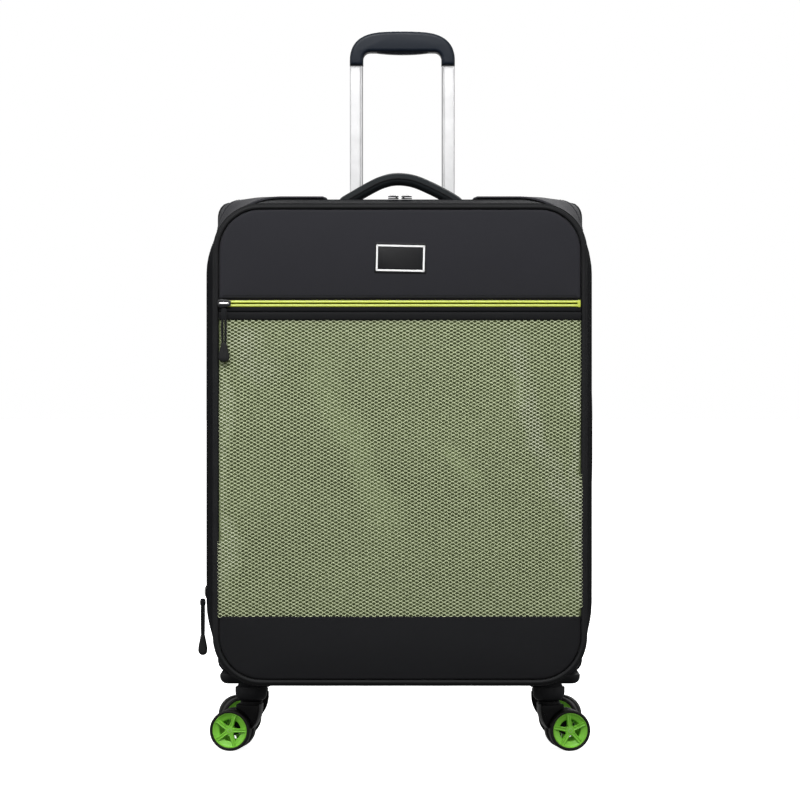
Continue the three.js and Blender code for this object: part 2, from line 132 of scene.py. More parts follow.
def moved(shell, matrix):
    """A shell turned and shifted by a 4 by 4 matrix whose shift is in millimetres."""
    points, faces = shell
    m = np.array(matrix)
    return np.asarray(points) @ m[:3, :3].T + m[:3, 3], faces


def piece(name, shells, material, body=None, replaces=(), weld=False, sharp=38,
          keep_normals=False):
    """One object made of shells, riding on a CAD body."""
    points, faces, start = [], [], 0
    for p, f in shells:
        p = np.asarray(p, float)
        points.append(p)
        faces.extend([[i + start for i in face] for face in f])
        start += len(p)
    mesh = bpy.data.meshes.new(name)
    mesh.from_pydata((np.concatenate(points) * MM).tolist(), [], faces)
    b = bmesh.new()
    b.from_mesh(mesh)
    if weld:
        bmesh.ops.remove_doubles(b, verts=b.verts, dist=1e-6)
        bmesh.ops.dissolve_degenerate(b, edges=b.edges, dist=1e-7)
    if not keep_normals:
        bmesh.ops.recalc_face_normals(b, faces=b.faces)
    b.to_mesh(mesh)
    b.free()
    mesh.shade_smooth()
    mesh.set_sharp_from_angle(angle=math.radians(sharp))
    mesh.materials.append(MATERIALS[material])
    made = bpy.data.objects.new(name, mesh)
    bpy.context.scene.collection.objects.link(made)
    if body:
        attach(made, body)
    if replaces:
        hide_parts(*replaces)
    return made


def thicken(made, thickness, offset=-1):
    """Gives a sheet its thickness, towards its back."""
    solid = made.modifiers.new("thickness", "SOLIDIFY")
    solid.thickness = thickness * MM
    solid.offset = offset


def apply_modifiers(made):
    """Replaces the mesh with what its modifiers make of it."""
    graph = bpy.context.evaluated_depsgraph_get()
    mesh = bpy.data.meshes.new_from_object(made.evaluated_get(graph))
    made.modifiers.clear()
    made.data = mesh


def ease(t):
    """A soft step from 0 to 1."""
    return t * t * (3 - 2 * t)


def clustered(low, high, count, tightness=0.75):
    """Values from low to high that lie closer together towards both ends."""
    t = np.linspace(0, 1, count)
    return low + (high - low) * ((1 - tightness) * t + tightness * (1 - np.cos(math.pi * t)) / 2)


def outline(o, inset=0):
    """A rounded outline across the case as (x, z) points, anticlockwise from the right side's lower end.
    Every outline has the same number of points, so that outlines can be joined one to the next."""
    w, low, high = o["w"] - inset, o["low"] + inset, o["high"] - inset
    top, bottom = max(o["top"] - inset, 1), max(o["bottom"] - inset, 1)
    rise, fall = (max(o.get(k, o[r]) - inset, 1) for k, r in (("rise", "top"), ("fall", "bottom")))
    notch = o.get("notch", 0)

    def corner(cx, cz, rx, rz, start):
        a = start + np.linspace(0, math.pi / 2, 15)
        return np.stack([cx + rx * np.cos(a), cz + rz * np.sin(a)], 1)

    def side(x, z0, z1):
        z = np.linspace(z0, z1, 58)[1:-1]
        return np.stack([np.full_like(z, x), z], 1)

    knots = [w - top, NOTCH_HALF + 3, NOTCH_HALF - 4, CUP_HALF_X, 0]
    counts = [12, 8, 3, 12]
    half = np.concatenate([np.linspace(a, b, n + 1)[:-1] for a, b, n in zip(knots, knots[1:], counts)])
    x = np.concatenate([half[1:], [0], -half[:0:-1]])
    dip = notch_dip(x)
    upper = np.stack([x, high - notch * dip], 1)
    floor_x = np.linspace(bottom - w, w - bottom, 60)[1:-1]
    lower = np.stack([floor_x, np.full_like(floor_x, low)], 1)
    return np.concatenate([
        side(w, low + fall, high - rise),
        corner(w - top, high - rise, top, rise, 0),
        upper,
        corner(top - w, high - rise, top, rise, math.pi / 2),
        side(-w, high - rise, low + fall),
        corner(bottom - w, low + fall, bottom, fall, math.pi),
        lower,
        corner(w - bottom, low + fall, bottom, fall, 1.5 * math.pi),
    ]) + (o.get("shift", 0), 0)


def notch_dip(x):
    """How far into the lowered middle of the top a point is, from 0 to 1."""
    return ease(np.clip((NOTCH_HALF + 5 - np.abs(x)) / 5, 0, 1))


def between(a, b, t):
    """The outline a share t of the way from a to b."""
    a, b = ({"rise": o["top"], "fall": o["bottom"], "notch": 0, "shift": 0, **o} for o in (a, b))
    return {k: a[k] + (b[k] - a[k]) * t for k in a}


def station(y, o, inset=0):
    """An outline at a depth, as points in space."""
    flat = outline(o, inset)
    return np.stack([flat[:, 0], np.full(len(flat), float(y)), flat[:, 1]], 1)


def edge_distance(o, x, z):
    """How far inside an outline a point is."""
    middle = (o["low"] + o["high"]) / 2
    half = (o["high"] - o["low"]) / 2
    r = np.where(z > middle, o["top"], o["bottom"])
    qx = np.abs(x) - o["w"] + r
    qz = np.abs(z - middle) - half + r
    outside = np.hypot(np.maximum(qx, 0), np.maximum(qz, 0))
    return r - outside - np.minimum(np.maximum(qx, qz), 0)


def half_width(o, z):
    """Half the width of an outline at a height."""
    rise, fall = o.get("rise", o["top"]), o.get("fall", o["bottom"])
    high = np.clip((z - o["high"]) / rise + 1, 0, 1)
    low = np.clip((o["low"] - z) / fall + 1, 0, 1)
    r = np.where(high > 0, o["top"], o["bottom"])
    return o["w"] - r + r * np.sqrt(1 - np.maximum(high, low) ** 2)


def sweep(path, section, normal=(0, 1, 0), closed=False):
    """Rings of a section carried along a path in one plane. A section's points are (across, along normal)."""
    path, section, normal = np.asarray(path, float), np.asarray(section, float), np.asarray(normal, float)
    tangent = np.roll(path, -1, 0) - np.roll(path, 1, 0) if closed else np.gradient(path, axis=0)
    tangent /= np.linalg.norm(tangent, axis=1)[:, None]
    across = np.cross(tangent, normal)
    if section.ndim == 2:
        section = np.broadcast_to(section, (len(path), *section.shape))
    return path[:, None] + section[..., :1] * across[:, None] + section[..., 1:] * normal


def oval(width, thickness, sides=12, power=2.0):
    """A closed oval section; a power over 2 squares its corners."""
    a = np.arange(sides) / sides * 2 * math.pi
    c, s = np.cos(a), np.sin(a)
    return np.stack([
        width / 2 * np.sign(c) * np.abs(c) ** (2 / power),
        thickness / 2 * np.sign(s) * np.abs(s) ** (2 / power),
    ], 1)


def smooth_curve(points, per_span=8):
    """A Catmull-Rom curve through points."""
    p = np.asarray(points, float)
    p = np.concatenate([[2 * p[0] - p[1]], p, [2 * p[-1] - p[-2]]])
    t = np.linspace(0, 1, per_span, endpoint=False)[:, None]
    spans = []
    for a, b, c, d in zip(p, p[1:], p[2:], p[3:]):
        spans.append(0.5 * (2 * b + (c - a) * t + (2 * a - 5 * b + 4 * c - d) * t**2
                            + (3 * b - a - 3 * c + d) * t**3))
    return np.concatenate([*spans, p[-2:-1]])


def evenly(path, step, closed=False):
    """The same path with points an even step apart."""
    path = np.asarray(path, float)
    if closed:
        path = np.concatenate([path, path[:1]])
    length = np.concatenate([[0], np.cumsum(np.linalg.norm(np.diff(path, axis=0), axis=1))])
    at = np.linspace(0, length[-1], max(int(round(length[-1] / step)), 2) + 1)
    even = np.stack([np.interp(at, length, path[:, k]) for k in range(3)], 1)
    return even[:-1] if closed else even


def rounded_rectangle(width, depth, radius, steps=6, cx=0, cy=0):
    """A rectangle with rounded corners; a pair of radii is for its right and its left side."""
    points = []
    radii = radius if isinstance(radius, tuple) else (radius, radius)
    for k, (sx, sy) in enumerate([(1, -1), (1, 1), (-1, 1), (-1, -1)]):
        r = radii[sx < 0]
        a = -math.pi / 2 + k * math.pi / 2 + np.linspace(0, math.pi / 2, steps + 1)
        points.append(np.stack([cx + sx * (width / 2 - r) + r * np.cos(a),
                                cy + sy * (depth / 2 - r) + r * np.sin(a)], 1))
    return np.concatenate(points)


def inset_shape(shape, d):
    """A closed anticlockwise shape with each point moved inwards by d."""
    before = shape - np.roll(shape, 1, 0)
    after = np.roll(shape, -1, 0) - shape
    normals = []
    for edge in (before, after):
        edge = edge / np.maximum(np.linalg.norm(edge, axis=1), 1e-9)[:, None]
        normals.append(np.stack([-edge[:, 1], edge[:, 0]], 1))
    total = normals[0] + normals[1]
    return shape + d * total / np.maximum(1 + (normals[0] * normals[1]).sum(1), 0.3)[:, None]


def extrusion(shape, low, high, fillet=0.0, steps=4, upright=True, fillet_high=None):
    """A flat shape carried from low to high with rounded edges: upwards, or else backwards along y."""
    shape = np.asarray(shape, float)
    rings = []
    ends = [(low, 1, fillet), (high, -1, fillet if fillet_high is None else fillet_high)]
    for level, sign, r in ends:
        angles = np.linspace(0, math.pi / 2, steps + 1)
        for a in (angles if sign > 0 else angles[::-1]):
            flat = inset_shape(shape, r * (1 - math.sin(a)))
            depth = np.full(len(flat), level + sign * r * (1 - math.cos(a)))
            columns = [flat[:, 0], flat[:, 1], depth] if upright else [flat[:, 0], depth, flat[:, 1]]
            rings.append(np.stack(columns, 1))
    return tube_of(rings)


def lathe(profile, sides=48):
    """A profile of (radius, height) points turned about z."""
    profile = np.asarray(profile, float)
    a = np.arange(sides) / sides * 2 * math.pi
    rings = np.stack([
        profile[None, :, 0] * np.cos(a)[:, None],
        profile[None, :, 0] * np.sin(a)[:, None],
        np.broadcast_to(profile[:, 1], (sides, len(profile))),
    ], -1)
    points = rings.reshape(-1, 3)
    return points, quads(sides, len(profile), True, True).tolist()


def arc(cx, cy, r, start, end, steps=6):
    """Points on part of a circle, between two angles in degrees."""
    a = np.radians(np.linspace(start, end, steps + 1))
    return [(cx + r * math.cos(t), cy + r * math.sin(t)) for t in a]


def stitches(path, pitch=3.4, length=2.3, radius=0.32, normal=(0, 1, 0), closed=False):
    """A row of short thread runs, each a small capsule along the path."""
    path = evenly(path, pitch, closed)
    ahead = (np.roll(path, -1, 0) if closed else np.concatenate([path[1:], path[-1:]])) - path
    if not closed:
        path, ahead = path[:-1], ahead[:-1]
    ahead /= np.linalg.norm(ahead, axis=1)[:, None]
    normal = np.asarray(normal, float)
    shells = []
    angles = np.arange(6) / 6 * 2 * math.pi
    for p, t in zip(path, ahead):
        side = np.cross(t, normal)
        rings = []
        for along, r in ((0, 0.35), (0.2, 0.95), (0.5, 1.1), (0.8, 0.95), (1, 0.35)):
            centre = p + t * along * length
            rings.append(centre + radius * r * (np.cos(angles)[:, None] * side
                                                + np.sin(angles)[:, None] * normal))
        shells.append(tube_of(rings))
    return shells


def ripple(x, z, size, seed):
    """Smooth unevenness between about -1 and 1, with waves of about the given size."""
    local = np.random.default_rng(seed)
    total = np.zeros(np.broadcast(x, z).shape)
    for _ in range(7):
        heading = local.uniform(0, math.pi)
        wave = size * local.uniform(0.6, 1.7)
        total += np.sin((x * math.cos(heading) + z * math.sin(heading)) * 2 * math.pi / wave
                        + local.uniform(0, 6.3))
    return total / 3.5


def cut(made, *cutters):
    """Takes cutters out of a piece."""
    for cutter in cutters:
        tool = made.modifiers.new("cut", "BOOLEAN")
        tool.operation = "DIFFERENCE"
        tool.solver = "EXACT"
        tool.object = cutter
    apply_modifiers(made)
    for cutter in cutters:
        bpy.data.objects.remove(cutter)
    made.data.shade_smooth()
    made.data.set_sharp_from_angle(angle=math.radians(38))


def cutter(shell):
    """A shape to be taken out of a piece."""
    return piece("cutter", [shell], "black_plastic")


# ---- Materials ---------------------------------------------------------------------------------------
class Shader:
    """A node material under construction. Textures read the object's own coordinates, in metres."""

    def __init__(self, name, color, roughness, **sockets):
        self.material = bpy.data.materials.new(name)
        self.material.use_nodes = True
        self.tree = self.material.node_tree
        self.surface = self.tree.nodes["Principled BSDF"]
        self.surface.inputs["Base Color"].default_value = (*color, 1)
        self.surface.inputs["Roughness"].default_value = roughness
        for socket, value in sockets.items():
            self.surface.inputs[socket.replace("_", " ")].default_value = value
        self.coordinates = self.node("ShaderNodeTexCoord")
        self.material.diffuse_color = (*color, 1)

    def node(self, kind, **settings):
        made = self.tree.nodes.new(kind)
        for key, value in settings.items():
            setattr(made, key, value)
        return made

    def link(self, source, target):
        self.tree.links.new(source, target)

    def set(self, socket, value):
        if isinstance(value, bpy.types.NodeSocket):
            self.link(value, socket)
        else:
            socket.default_value = value

    def math(self, operation, a, b=0.0, c=0.0, clamp=False):
        made = self.node("ShaderNodeMath", operation=operation, use_clamp=clamp)
        for socket, value in zip(made.inputs, (a, b, c)):
            self.set(socket, value)
        return made.outputs[0]

    def noise(self, size, detail=3.0, roughness=0.55, vector=None):
        """Noise whose features are about the given size in millimetres."""
        made = self.node("ShaderNodeTexNoise")
        self.link(vector or self.coordinates.outputs["Object"], made.inputs["Vector"])
        made.inputs["Scale"].default_value = 1 / (size * MM)
        made.inputs["Detail"].default_value = detail
        made.inputs["Roughness"].default_value = roughness
        return made.outputs["Fac"]

    def stretch(self, scale):
        made = self.node("ShaderNodeMapping")
        self.link(self.coordinates.outputs["Object"], made.inputs["Vector"])
        made.inputs["Scale"].default_value = scale
        return made.outputs["Vector"]

    def spread(self, value, low, high, from_low=0.3, from_high=0.7):
        made = self.node("ShaderNodeMapRange")
        self.set(made.inputs["Value"], value)
        for socket, number in zip(("From Min", "From Max", "To Min", "To Max"),
                                  (from_low, from_high, low, high)):
            self.set(made.inputs[socket], number)
        return made.outputs["Result"]

    def mix(self, factor, a, b):
        made = self.node("ShaderNodeMix", data_type="RGBA")
        self.set(made.inputs["Factor"], factor)
        for socket, value in ((made.inputs[6], a), (made.inputs[7], b)):
            self.set(socket, (*value, 1) if isinstance(value, tuple) else value)
        return made.outputs[2]

    def color(self, value):
        self.link(value, self.surface.inputs["Base Color"])

    def rough(self, value):
        self.link(value, self.surface.inputs["Roughness"])

    def bump(self, height, strength, depth):
        """Adds relief of a depth in millimetres on top of any relief made before."""
        made = self.node("ShaderNodeBump")
        made.inputs["Strength"].default_value = strength
        made.inputs["Distance"].default_value = depth * MM
        self.link(height, made.inputs["Height"])
        earlier = self.surface.inputs["Normal"].links
        if earlier:
            self.link(earlier[0].from_socket, made.inputs["Normal"])
        self.link(made.outputs["Normal"], self.surface.inputs["Normal"])

    def weave(self, pitch):
        """Height of a plain weave, laid along the two axes that the surface faces least."""
        place, facing = self.node("ShaderNodeSeparateXYZ"), self.node("ShaderNodeSeparateXYZ")
        self.link(self.coordinates.outputs["Object"], place.inputs[0])
        self.link(self.coordinates.outputs["Normal"], facing.inputs[0])
        x, y, z = place.outputs
        nx, ny, nz = (self.math("ABSOLUTE", n) for n in facing.outputs)
        sideways = self.math("GREATER_THAN", nx, self.math("MAXIMUM", ny, nz))
        level = self.math("GREATER_THAN", nz, self.math("MAXIMUM", nx, ny))

        def pick(choice, no, yes):
            return self.math("MULTIPLY_ADD", choice, self.math("SUBTRACT", yes, no), no)

        u, v = pick(sideways, x, y), pick(level, z, y)
        waves = [self.math("SINE", self.math("MULTIPLY", c, math.pi / (pitch * MM))) for c in (u, v)]
        over = self.math("GREATER_THAN", self.math("MULTIPLY", *waves), 0.0)
        warp, weft = (self.math("ABSOLUTE", w) for w in waves)
        return self.math("MULTIPLY_ADD", over, self.math("SUBTRACT", warp, weft), weft)


def tinted(color, factor):
    return tuple(min(c * factor, 1.0) for c in color)


def fabric(name, color, pitch=0.8, relief=0.12, roughness=0.8, sheen=0.02, sheen_roughness=0.5, contrast=0.12,
           specular=0.12):
    """Woven cloth: threads with painted shade between them, slight cloudiness, lint and soft sheen."""
    s = Shader(name, color, roughness, Sheen_Weight=sheen, Sheen_Roughness=sheen_roughness,
               Specular_IOR_Level=specular)
    threads = s.weave(pitch)
    cloud = s.noise(70, 4)
    lint = s.noise(1.1, 2)
    # The weave's height darkens the colour between threads: painted shade in the weave's hollows. Lint adds
    # random tone.
    shade = s.math("ADD", s.math("MULTIPLY", threads, 0.5), s.math("MULTIPLY", lint, 0.5))
    near = s.mix(s.spread(shade, 0, 1), tinted(color, 1 - contrast), tinted(color, 1 + contrast))
    wide = s.mix(s.spread(cloud, 0, 1), tinted(color, 1 - contrast * 0.6), tinted(color, 1 + contrast * 0.8))
    s.color(s.mix(0.5, near, wide))
    s.rough(s.spread(cloud, roughness - 0.05, roughness + 0.06))
    s.bump(s.noise(14, 3), 0.25, 0.5)
    s.bump(threads, 0.55, relief)
    return s.material


def plastic(name, color, roughness, grain=0.9, relief=0.05, coat=0.0, wear=1.25, specular=0.5):
    """Moulded plastic: fine spark-eroded grain, faint flow marks and lighter rubbed patches."""
    s = Shader(name, color, roughness, Coat_Weight=coat, Coat_Roughness=0.15, Specular_IOR_Level=specular)
    marks = s.noise(9, 5, 0.7)
    s.color(s.mix(s.spread(marks, 0, 1, 0.45, 0.8), color, tinted(color, wear)))
    s.rough(s.spread(s.noise(3, 4), roughness - 0.06, roughness + 0.08))
    s.bump(s.noise(grain, 2), 0.4, relief)
    return s.material


def metal(name, color, roughness, stretch=(1, 1, 1), scratch=0.03, specular=0.5):
    """Metal with drawn or tumbled scratches."""
    s = Shader(name, color, roughness, Metallic=1.0, Specular_IOR_Level=specular)
    lines = s.noise(2.2, 6, 0.7, s.stretch(stretch))
    s.rough(s.spread(lines, roughness - 0.07, roughness + 0.1))
    s.color(s.mix(s.spread(s.noise(18, 3), 0, 1), tinted(color, 0.93), tinted(color, 1.04)))
    s.bump(lines, 0.3, scratch)
    return s.material


def net_threads():
    """Knitted threads, with painted sheen: paler patches where light falls flat on them."""
    low, high, pale = (0.34, 0.385, 0.215), (0.50, 0.55, 0.355), (0.60, 0.62, 0.50)
    s = Shader("sage_threads", high, 0.6, Sheen_Weight=0.1, Sheen_Roughness=0.4, Specular_IOR_Level=0.3)
    fibre = s.noise(0.9, 2)
    base = s.mix(s.spread(fibre, 0, 1), low, high)
    # The pale colour laid on in patches is painted sheen.
    s.color(s.mix(painted_sheen_patches(s), base, pale))
    s.bump(fibre, 0.4, 0.15)
    return s.material


def band_mask(s, bands, softness):
    """Soft-edged slanting bands on the front, each (x, z) to (x, z) with a half width, in millimetres."""
    place = s.node("ShaderNodeSeparateXYZ")
    s.link(s.coordinates.outputs["Object"], place.inputs[0])
    wobble = s.spread(s.noise(60, 2), -0.012, 0.012)
    x, z = s.math("ADD", place.outputs[0], wobble), place.outputs[2]
    total = None
    for (x0, z0), (x1, z1), half in bands:
        slope = (x1 - x0) / (z1 - z0)
        offset = s.math("SUBTRACT", s.math("SUBTRACT", x, x0 * MM),
                        s.math("MULTIPLY", s.math("SUBTRACT", z, z0 * MM), slope))
        across = s.math("SUBTRACT", 1.0, s.math("DIVIDE", s.math("ABSOLUTE", offset), half * MM), clamp=True)
        middle, reach = (z0 + z1) / 2 * MM, abs(z1 - z0) / 2 * MM
        along = s.spread(s.math("ABSOLUTE", s.math("SUBTRACT", z, middle)), 1, 0, reach * (1 - softness),
                         reach)
        band = s.math("MULTIPLY", across, along)
        total = band if total is None else s.math("MAXIMUM", total, band)
    return s.math("MULTIPLY", total, s.math("SUBTRACT", 2.0, total))


# Painted sheen: pale bands and patches along the net's edges, mixed into the threads' colour.
def painted_sheen_patches(s):
    bands = [((-214, 500), (-216, 170), 16), ((-196, 520), (-150, 440), 26),
             ((140, 520), (172, 330), 16), ((172, 380), (214, 260), 20), ((216, 480), (216, 180), 10)]
    return s.math("MULTIPLY", band_mask(s, bands, 0.5), s.spread(s.noise(25, 3), 0.15, 0.5))


def net_backing():
    """Olive cloth behind the net, paler in slanting bands and soft patches; the band along the left edge is
    painted sheen.
    """
    dark, pale = (0.085, 0.104, 0.042), (0.165, 0.205, 0.09)
    s = Shader("olive_backing", dark, 0.8, Sheen_Weight=0.1, Specular_IOR_Level=0.2)
    # The band along the left edge, at x = -214, is painted sheen as on the threads; the other bands and wide
    # patches just lighten the cloth.
    bands = [((-108, 500), (-2, 240), 27), ((54, 380), (92, 320), 17), ((138, 465), (152, 415), 12),
             ((-214, 500), (-214, 170), 16)]
    pale_bands_and_sheen = s.math("MAXIMUM", band_mask(s, bands, 0.6), s.spread(s.noise(120, 2), 0.0, 0.3, 0.45, 0.75))
    fibre = s.noise(2.5, 3)
    near = s.mix(s.spread(fibre, 0, 1), tinted(dark, 0.8), tinted(dark, 1.25))
    s.color(s.mix(pale_bands_and_sheen, near, pale))
    s.bump(fibre, 0.3, 0.3)
    return s.material


def coil_material(name, color, roughness, specular):
    s = Shader(name, color, roughness, Specular_IOR_Level=specular, Coat_Weight=0.3, Coat_Roughness=0.2)
    s.color(s.mix(s.spread(s.noise(1.6, 2), 0, 1), tinted(color, 0.9), tinted(color, 1.06)))
    s.rough(s.spread(s.noise(5, 2), roughness - 0.05, roughness + 0.08))
    s.bump(s.noise(0.6, 2), 0.3, 0.06)
    return s.material


CHARCOAL = (0.0205, 0.0205, 0.0245)
BLACK = (0.0065, 0.0065, 0.007)

MATERIALS = {
    "charcoal_fabric": fabric("charcoal_fabric", CHARCOAL),
    # The lower panel's cloth is a darker copy of the charcoal cloth: painted shade for the lower front, where
    # less light falls.
    "lower_fabric_painted_shade": fabric("lower_fabric_painted_shade", (0.0092, 0.0094, 0.0106)),
    # Side strips: a darker copy of the charcoal cloth, painted shade for the sides that face away from the
    # light.
    "gusset_fabric_painted_shade": fabric("gusset_fabric_painted_shade", (0.0075, 0.0078, 0.0090), pitch=0.9, relief=0.16, sheen=0.0,
                            specular=0.03),
    "binding": fabric("binding", (0.0065, 0.0067, 0.0076), pitch=0.7, relief=0.1, roughness=0.7),
    "piping": fabric("piping", (0.0072, 0.0075, 0.0083), pitch=0.6, relief=0.06, roughness=0.6,
                     specular=0.18),
    "zipper_tape": fabric("zipper_tape", BLACK, pitch=0.6, relief=0.1),
    "black_webbing": fabric("black_webbing", (0.009, 0.0095, 0.0105), pitch=1.3, relief=0.3, roughness=0.7),
    "handle_fabric": fabric("handle_fabric", (0.0062, 0.0086, 0.0102), pitch=0.8, relief=0.1, roughness=0.65,
                            specular=0.2),
    "lining_fabric": fabric("lining_fabric", (0.05, 0.052, 0.056), pitch=0.4, relief=0.05, roughness=0.5,
                            sheen=0.1, specular=0.3),
    "thread": fabric("thread", (0.016, 0.0165, 0.018), pitch=0.35, relief=0.1, roughness=0.7),
    "sage_threads": net_threads(),
    "olive_backing": net_backing(),
    "lime_coil": coil_material("lime_coil", (0.50, 0.57, 0.062), 0.42, 0.35),
    "black_coil": coil_material("black_coil", (0.009, 0.009, 0.010), 0.45, 0.25),
    "badge_black": plastic("badge_black", (0.006, 0.006, 0.007), 0.35, 0.5, 0.02, specular=0.2),
    "badge_white": plastic("badge_white", (0.85, 0.85, 0.85), 0.35, 0.5, 0.02, wear=0.95),
    "black_plastic": plastic("black_plastic", (0.010, 0.0104, 0.0118), 0.5, specular=0.2),
    "slate_grip": plastic("slate_grip", (0.0052, 0.0088, 0.0158), 0.42, 0.6, 0.03, wear=1.12, specular=0.25),
    "trigger_black": plastic("trigger_black", (0.014, 0.018, 0.026), 0.45, 0.6, 0.03, specular=0.25),
    "fork_black": plastic("fork_black", (0.0045, 0.0045, 0.0050), 0.45, 0.8, 0.04, specular=0.12),
    "tyre_black": plastic("tyre_black", (0.0085, 0.0078, 0.0070), 0.55, 0.7, 0.06, wear=1.6, specular=0.2),
    "hub_green": plastic("hub_green", (0.20, 0.55, 0.045), 0.4, 0.5, 0.02, wear=1.06, specular=0.35),
    "puller_rubber": plastic("puller_rubber", (0.0105, 0.0108, 0.0112), 0.6, 0.6, 0.05, specular=0.2),
    "slider_black": metal("slider_black", (0.05, 0.05, 0.052), 0.3),
    "slider_metal": metal("slider_metal", (0.82, 0.82, 0.81), 0.28),
    "anodised_tube": metal("anodised_tube", (0.68, 0.68, 0.685), 0.38, stretch=(1, 1, 0.04), scratch=0.012),
    "axle_steel": metal("axle_steel", (0.5, 0.5, 0.5), 0.35),
}


# ---- Lid: panels, piping, pocket zipper, badge -------------------------------------------------------
def panel_rows(low, high, rows, columns, roll_low, roll_high, crown, seed):
    """A padded face between two heights: its edges roll back into the seams and its middle stands proud."""
    z = clustered(low, high, rows)[:, None]
    across = clustered(-1, 1, columns, 0.6)[None, :]
    x = across * half_width(PANEL, z)
    edge = np.maximum(edge_distance(PANEL, x, z), 0)
    back = 2.6 * (1 - np.sqrt(1 - np.clip(1 - edge / 3.5, 0, 1) ** 2))
    for limit, roll in ((z - low, roll_low), (high - z, roll_high)):
        if roll:
            back = np.maximum(back, roll * (1 - np.sqrt(1 - np.clip(1 - limit / roll, 0, 1) ** 2)))
    near = np.minimum(edge, np.minimum(z - low + 8 * (roll_low == 0), high - z + 8))
    dome = crown * (1 - np.exp(-np.maximum(near, 0) / 22))
    proud = dome + 0.28 * ripple(x, z, 75, seed) * np.clip(near / 15, 0, 1)
    y = FRONT_Y + back - proud
    return np.stack([x, y, np.broadcast_to(z, x.shape)], -1)


def pin_rim(rows, columns, rings):
    """Indices of a grid's points near its rim."""
    index = np.arange(rows * columns).reshape(rows, columns)
    inner = index[rings:-rings, rings:-rings]
    return sorted(set(index.ravel().tolist()) - set(inner.ravel().tolist()))


def swell(made, pinned, pressure, cap, weights=(1, 1, 1), frames=20):
    """Cloth simulation: the skin swells between its pinned seams, and no point moves further than cap."""
    rest = np.array([v.co for v in made.data.vertices])
    group = made.vertex_groups.new(name="pinned")
    group.add([int(i) for i in pinned], 1.0, "REPLACE")
    cloth = made.modifiers.new("cloth", "CLOTH")
    settings = cloth.settings
    settings.quality = 4
    settings.mass = 0.3
    settings.tension_stiffness = settings.compression_stiffness = 12
    settings.bending_stiffness = 1.5
    settings.use_pressure = True
    settings.uniform_pressure_force = pressure
    settings.vertex_group_mass = "pinned"
    settings.effector_weights.gravity = 0
    cloth.collision_settings.use_collision = False
    cloth.point_cache.frame_start, cloth.point_cache.frame_end = 1, frames
    scene = bpy.context.scene
    for step in range(1, frames + 1):
        scene.frame_set(step)
    graph = bpy.context.evaluated_depsgraph_get()
    swollen = made.evaluated_get(graph).to_mesh()
    at = np.array([v.co for v in swollen.vertices])
    made.evaluated_get(graph).to_mesh_clear()
    made.modifiers.remove(cloth)
    made.vertex_groups.clear()
    move = (at - rest) * np.array(weights)
    far = np.linalg.norm(move, axis=1)
    limit = cap * MM
    move *= (limit * np.tanh(far / limit) / np.maximum(far, 1e-9))[:, None]
    made.data.vertices.foreach_set("co", (rest + move).astype(np.float32).ravel())
    made.data.update()
    scene.frame_set(1)


def build_panels():
    for name, low, high, rolls, seed in (
        ("upper_panel", POCKET_TOP + 0.3, PANEL["high"], (2.4, 0), 3),
        ("lower_panel", PANEL["low"], MESH_LOW - 0.3, (0, 1.6), 4),
    ):
        rows, columns = 44, 110
        grid = panel_rows(low, high, rows, columns, *rolls, 2.2, seed)
        # The lower panel takes the darker cloth copy: painted shade.
        cloth = "charcoal_fabric" if name == "upper_panel" else "lower_fabric_painted_shade"
        made = piece(name, [sheet_of(grid)], cloth, keep_normals=True, sharp=80)
        swell(made, pin_rim(rows, columns, 3), 2.5, 2.5, (0.3, 1, 0.3))
        thicken(made, 1.2)
        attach(made, "lid")
        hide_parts(name)
    seam = [
        [(x, FRONT_Y - 1.0, POCKET_TOP + 4.6) for x in (-213, 213)],
        [(x, FRONT_Y - 0.7, MESH_LOW - 3.4) for x in (-213, 213)],
    ]
    rows = [s for path in seam for s in stitches(path)]
    piece("panel_stitching", rows, "thread", "lid")


def net_cells():
    """Hole centres of the net, in staggered rows that drift a little as knitted cloth does."""
    spacing, pitch = 8.05, 2.175
    rows = np.arange(math.ceil((MESH_LOW - 6) / pitch), math.floor((MESH_TOP + 6) / pitch))
    columns = np.arange(-29, 30)
    row, column = np.meshgrid(rows, columns, indexing="ij")
    x = column * spacing + (row % 2) * spacing / 2
    z = row * pitch
    return x.ravel(), z.ravel(), spacing / 2, pitch


def drift(points):
    x, z = points[:, 0], points[:, 1]
    lean = 0.016 * x + 1.6 * np.sin(x / 95 + z / 150)
    sway = 1.3 * np.sin(z / 70 + x / 210)
    return np.stack([x + sway, z + lean], 1)


def net_depth(x, z):
    return 0.55 * ripple(x, z, 110, 8)


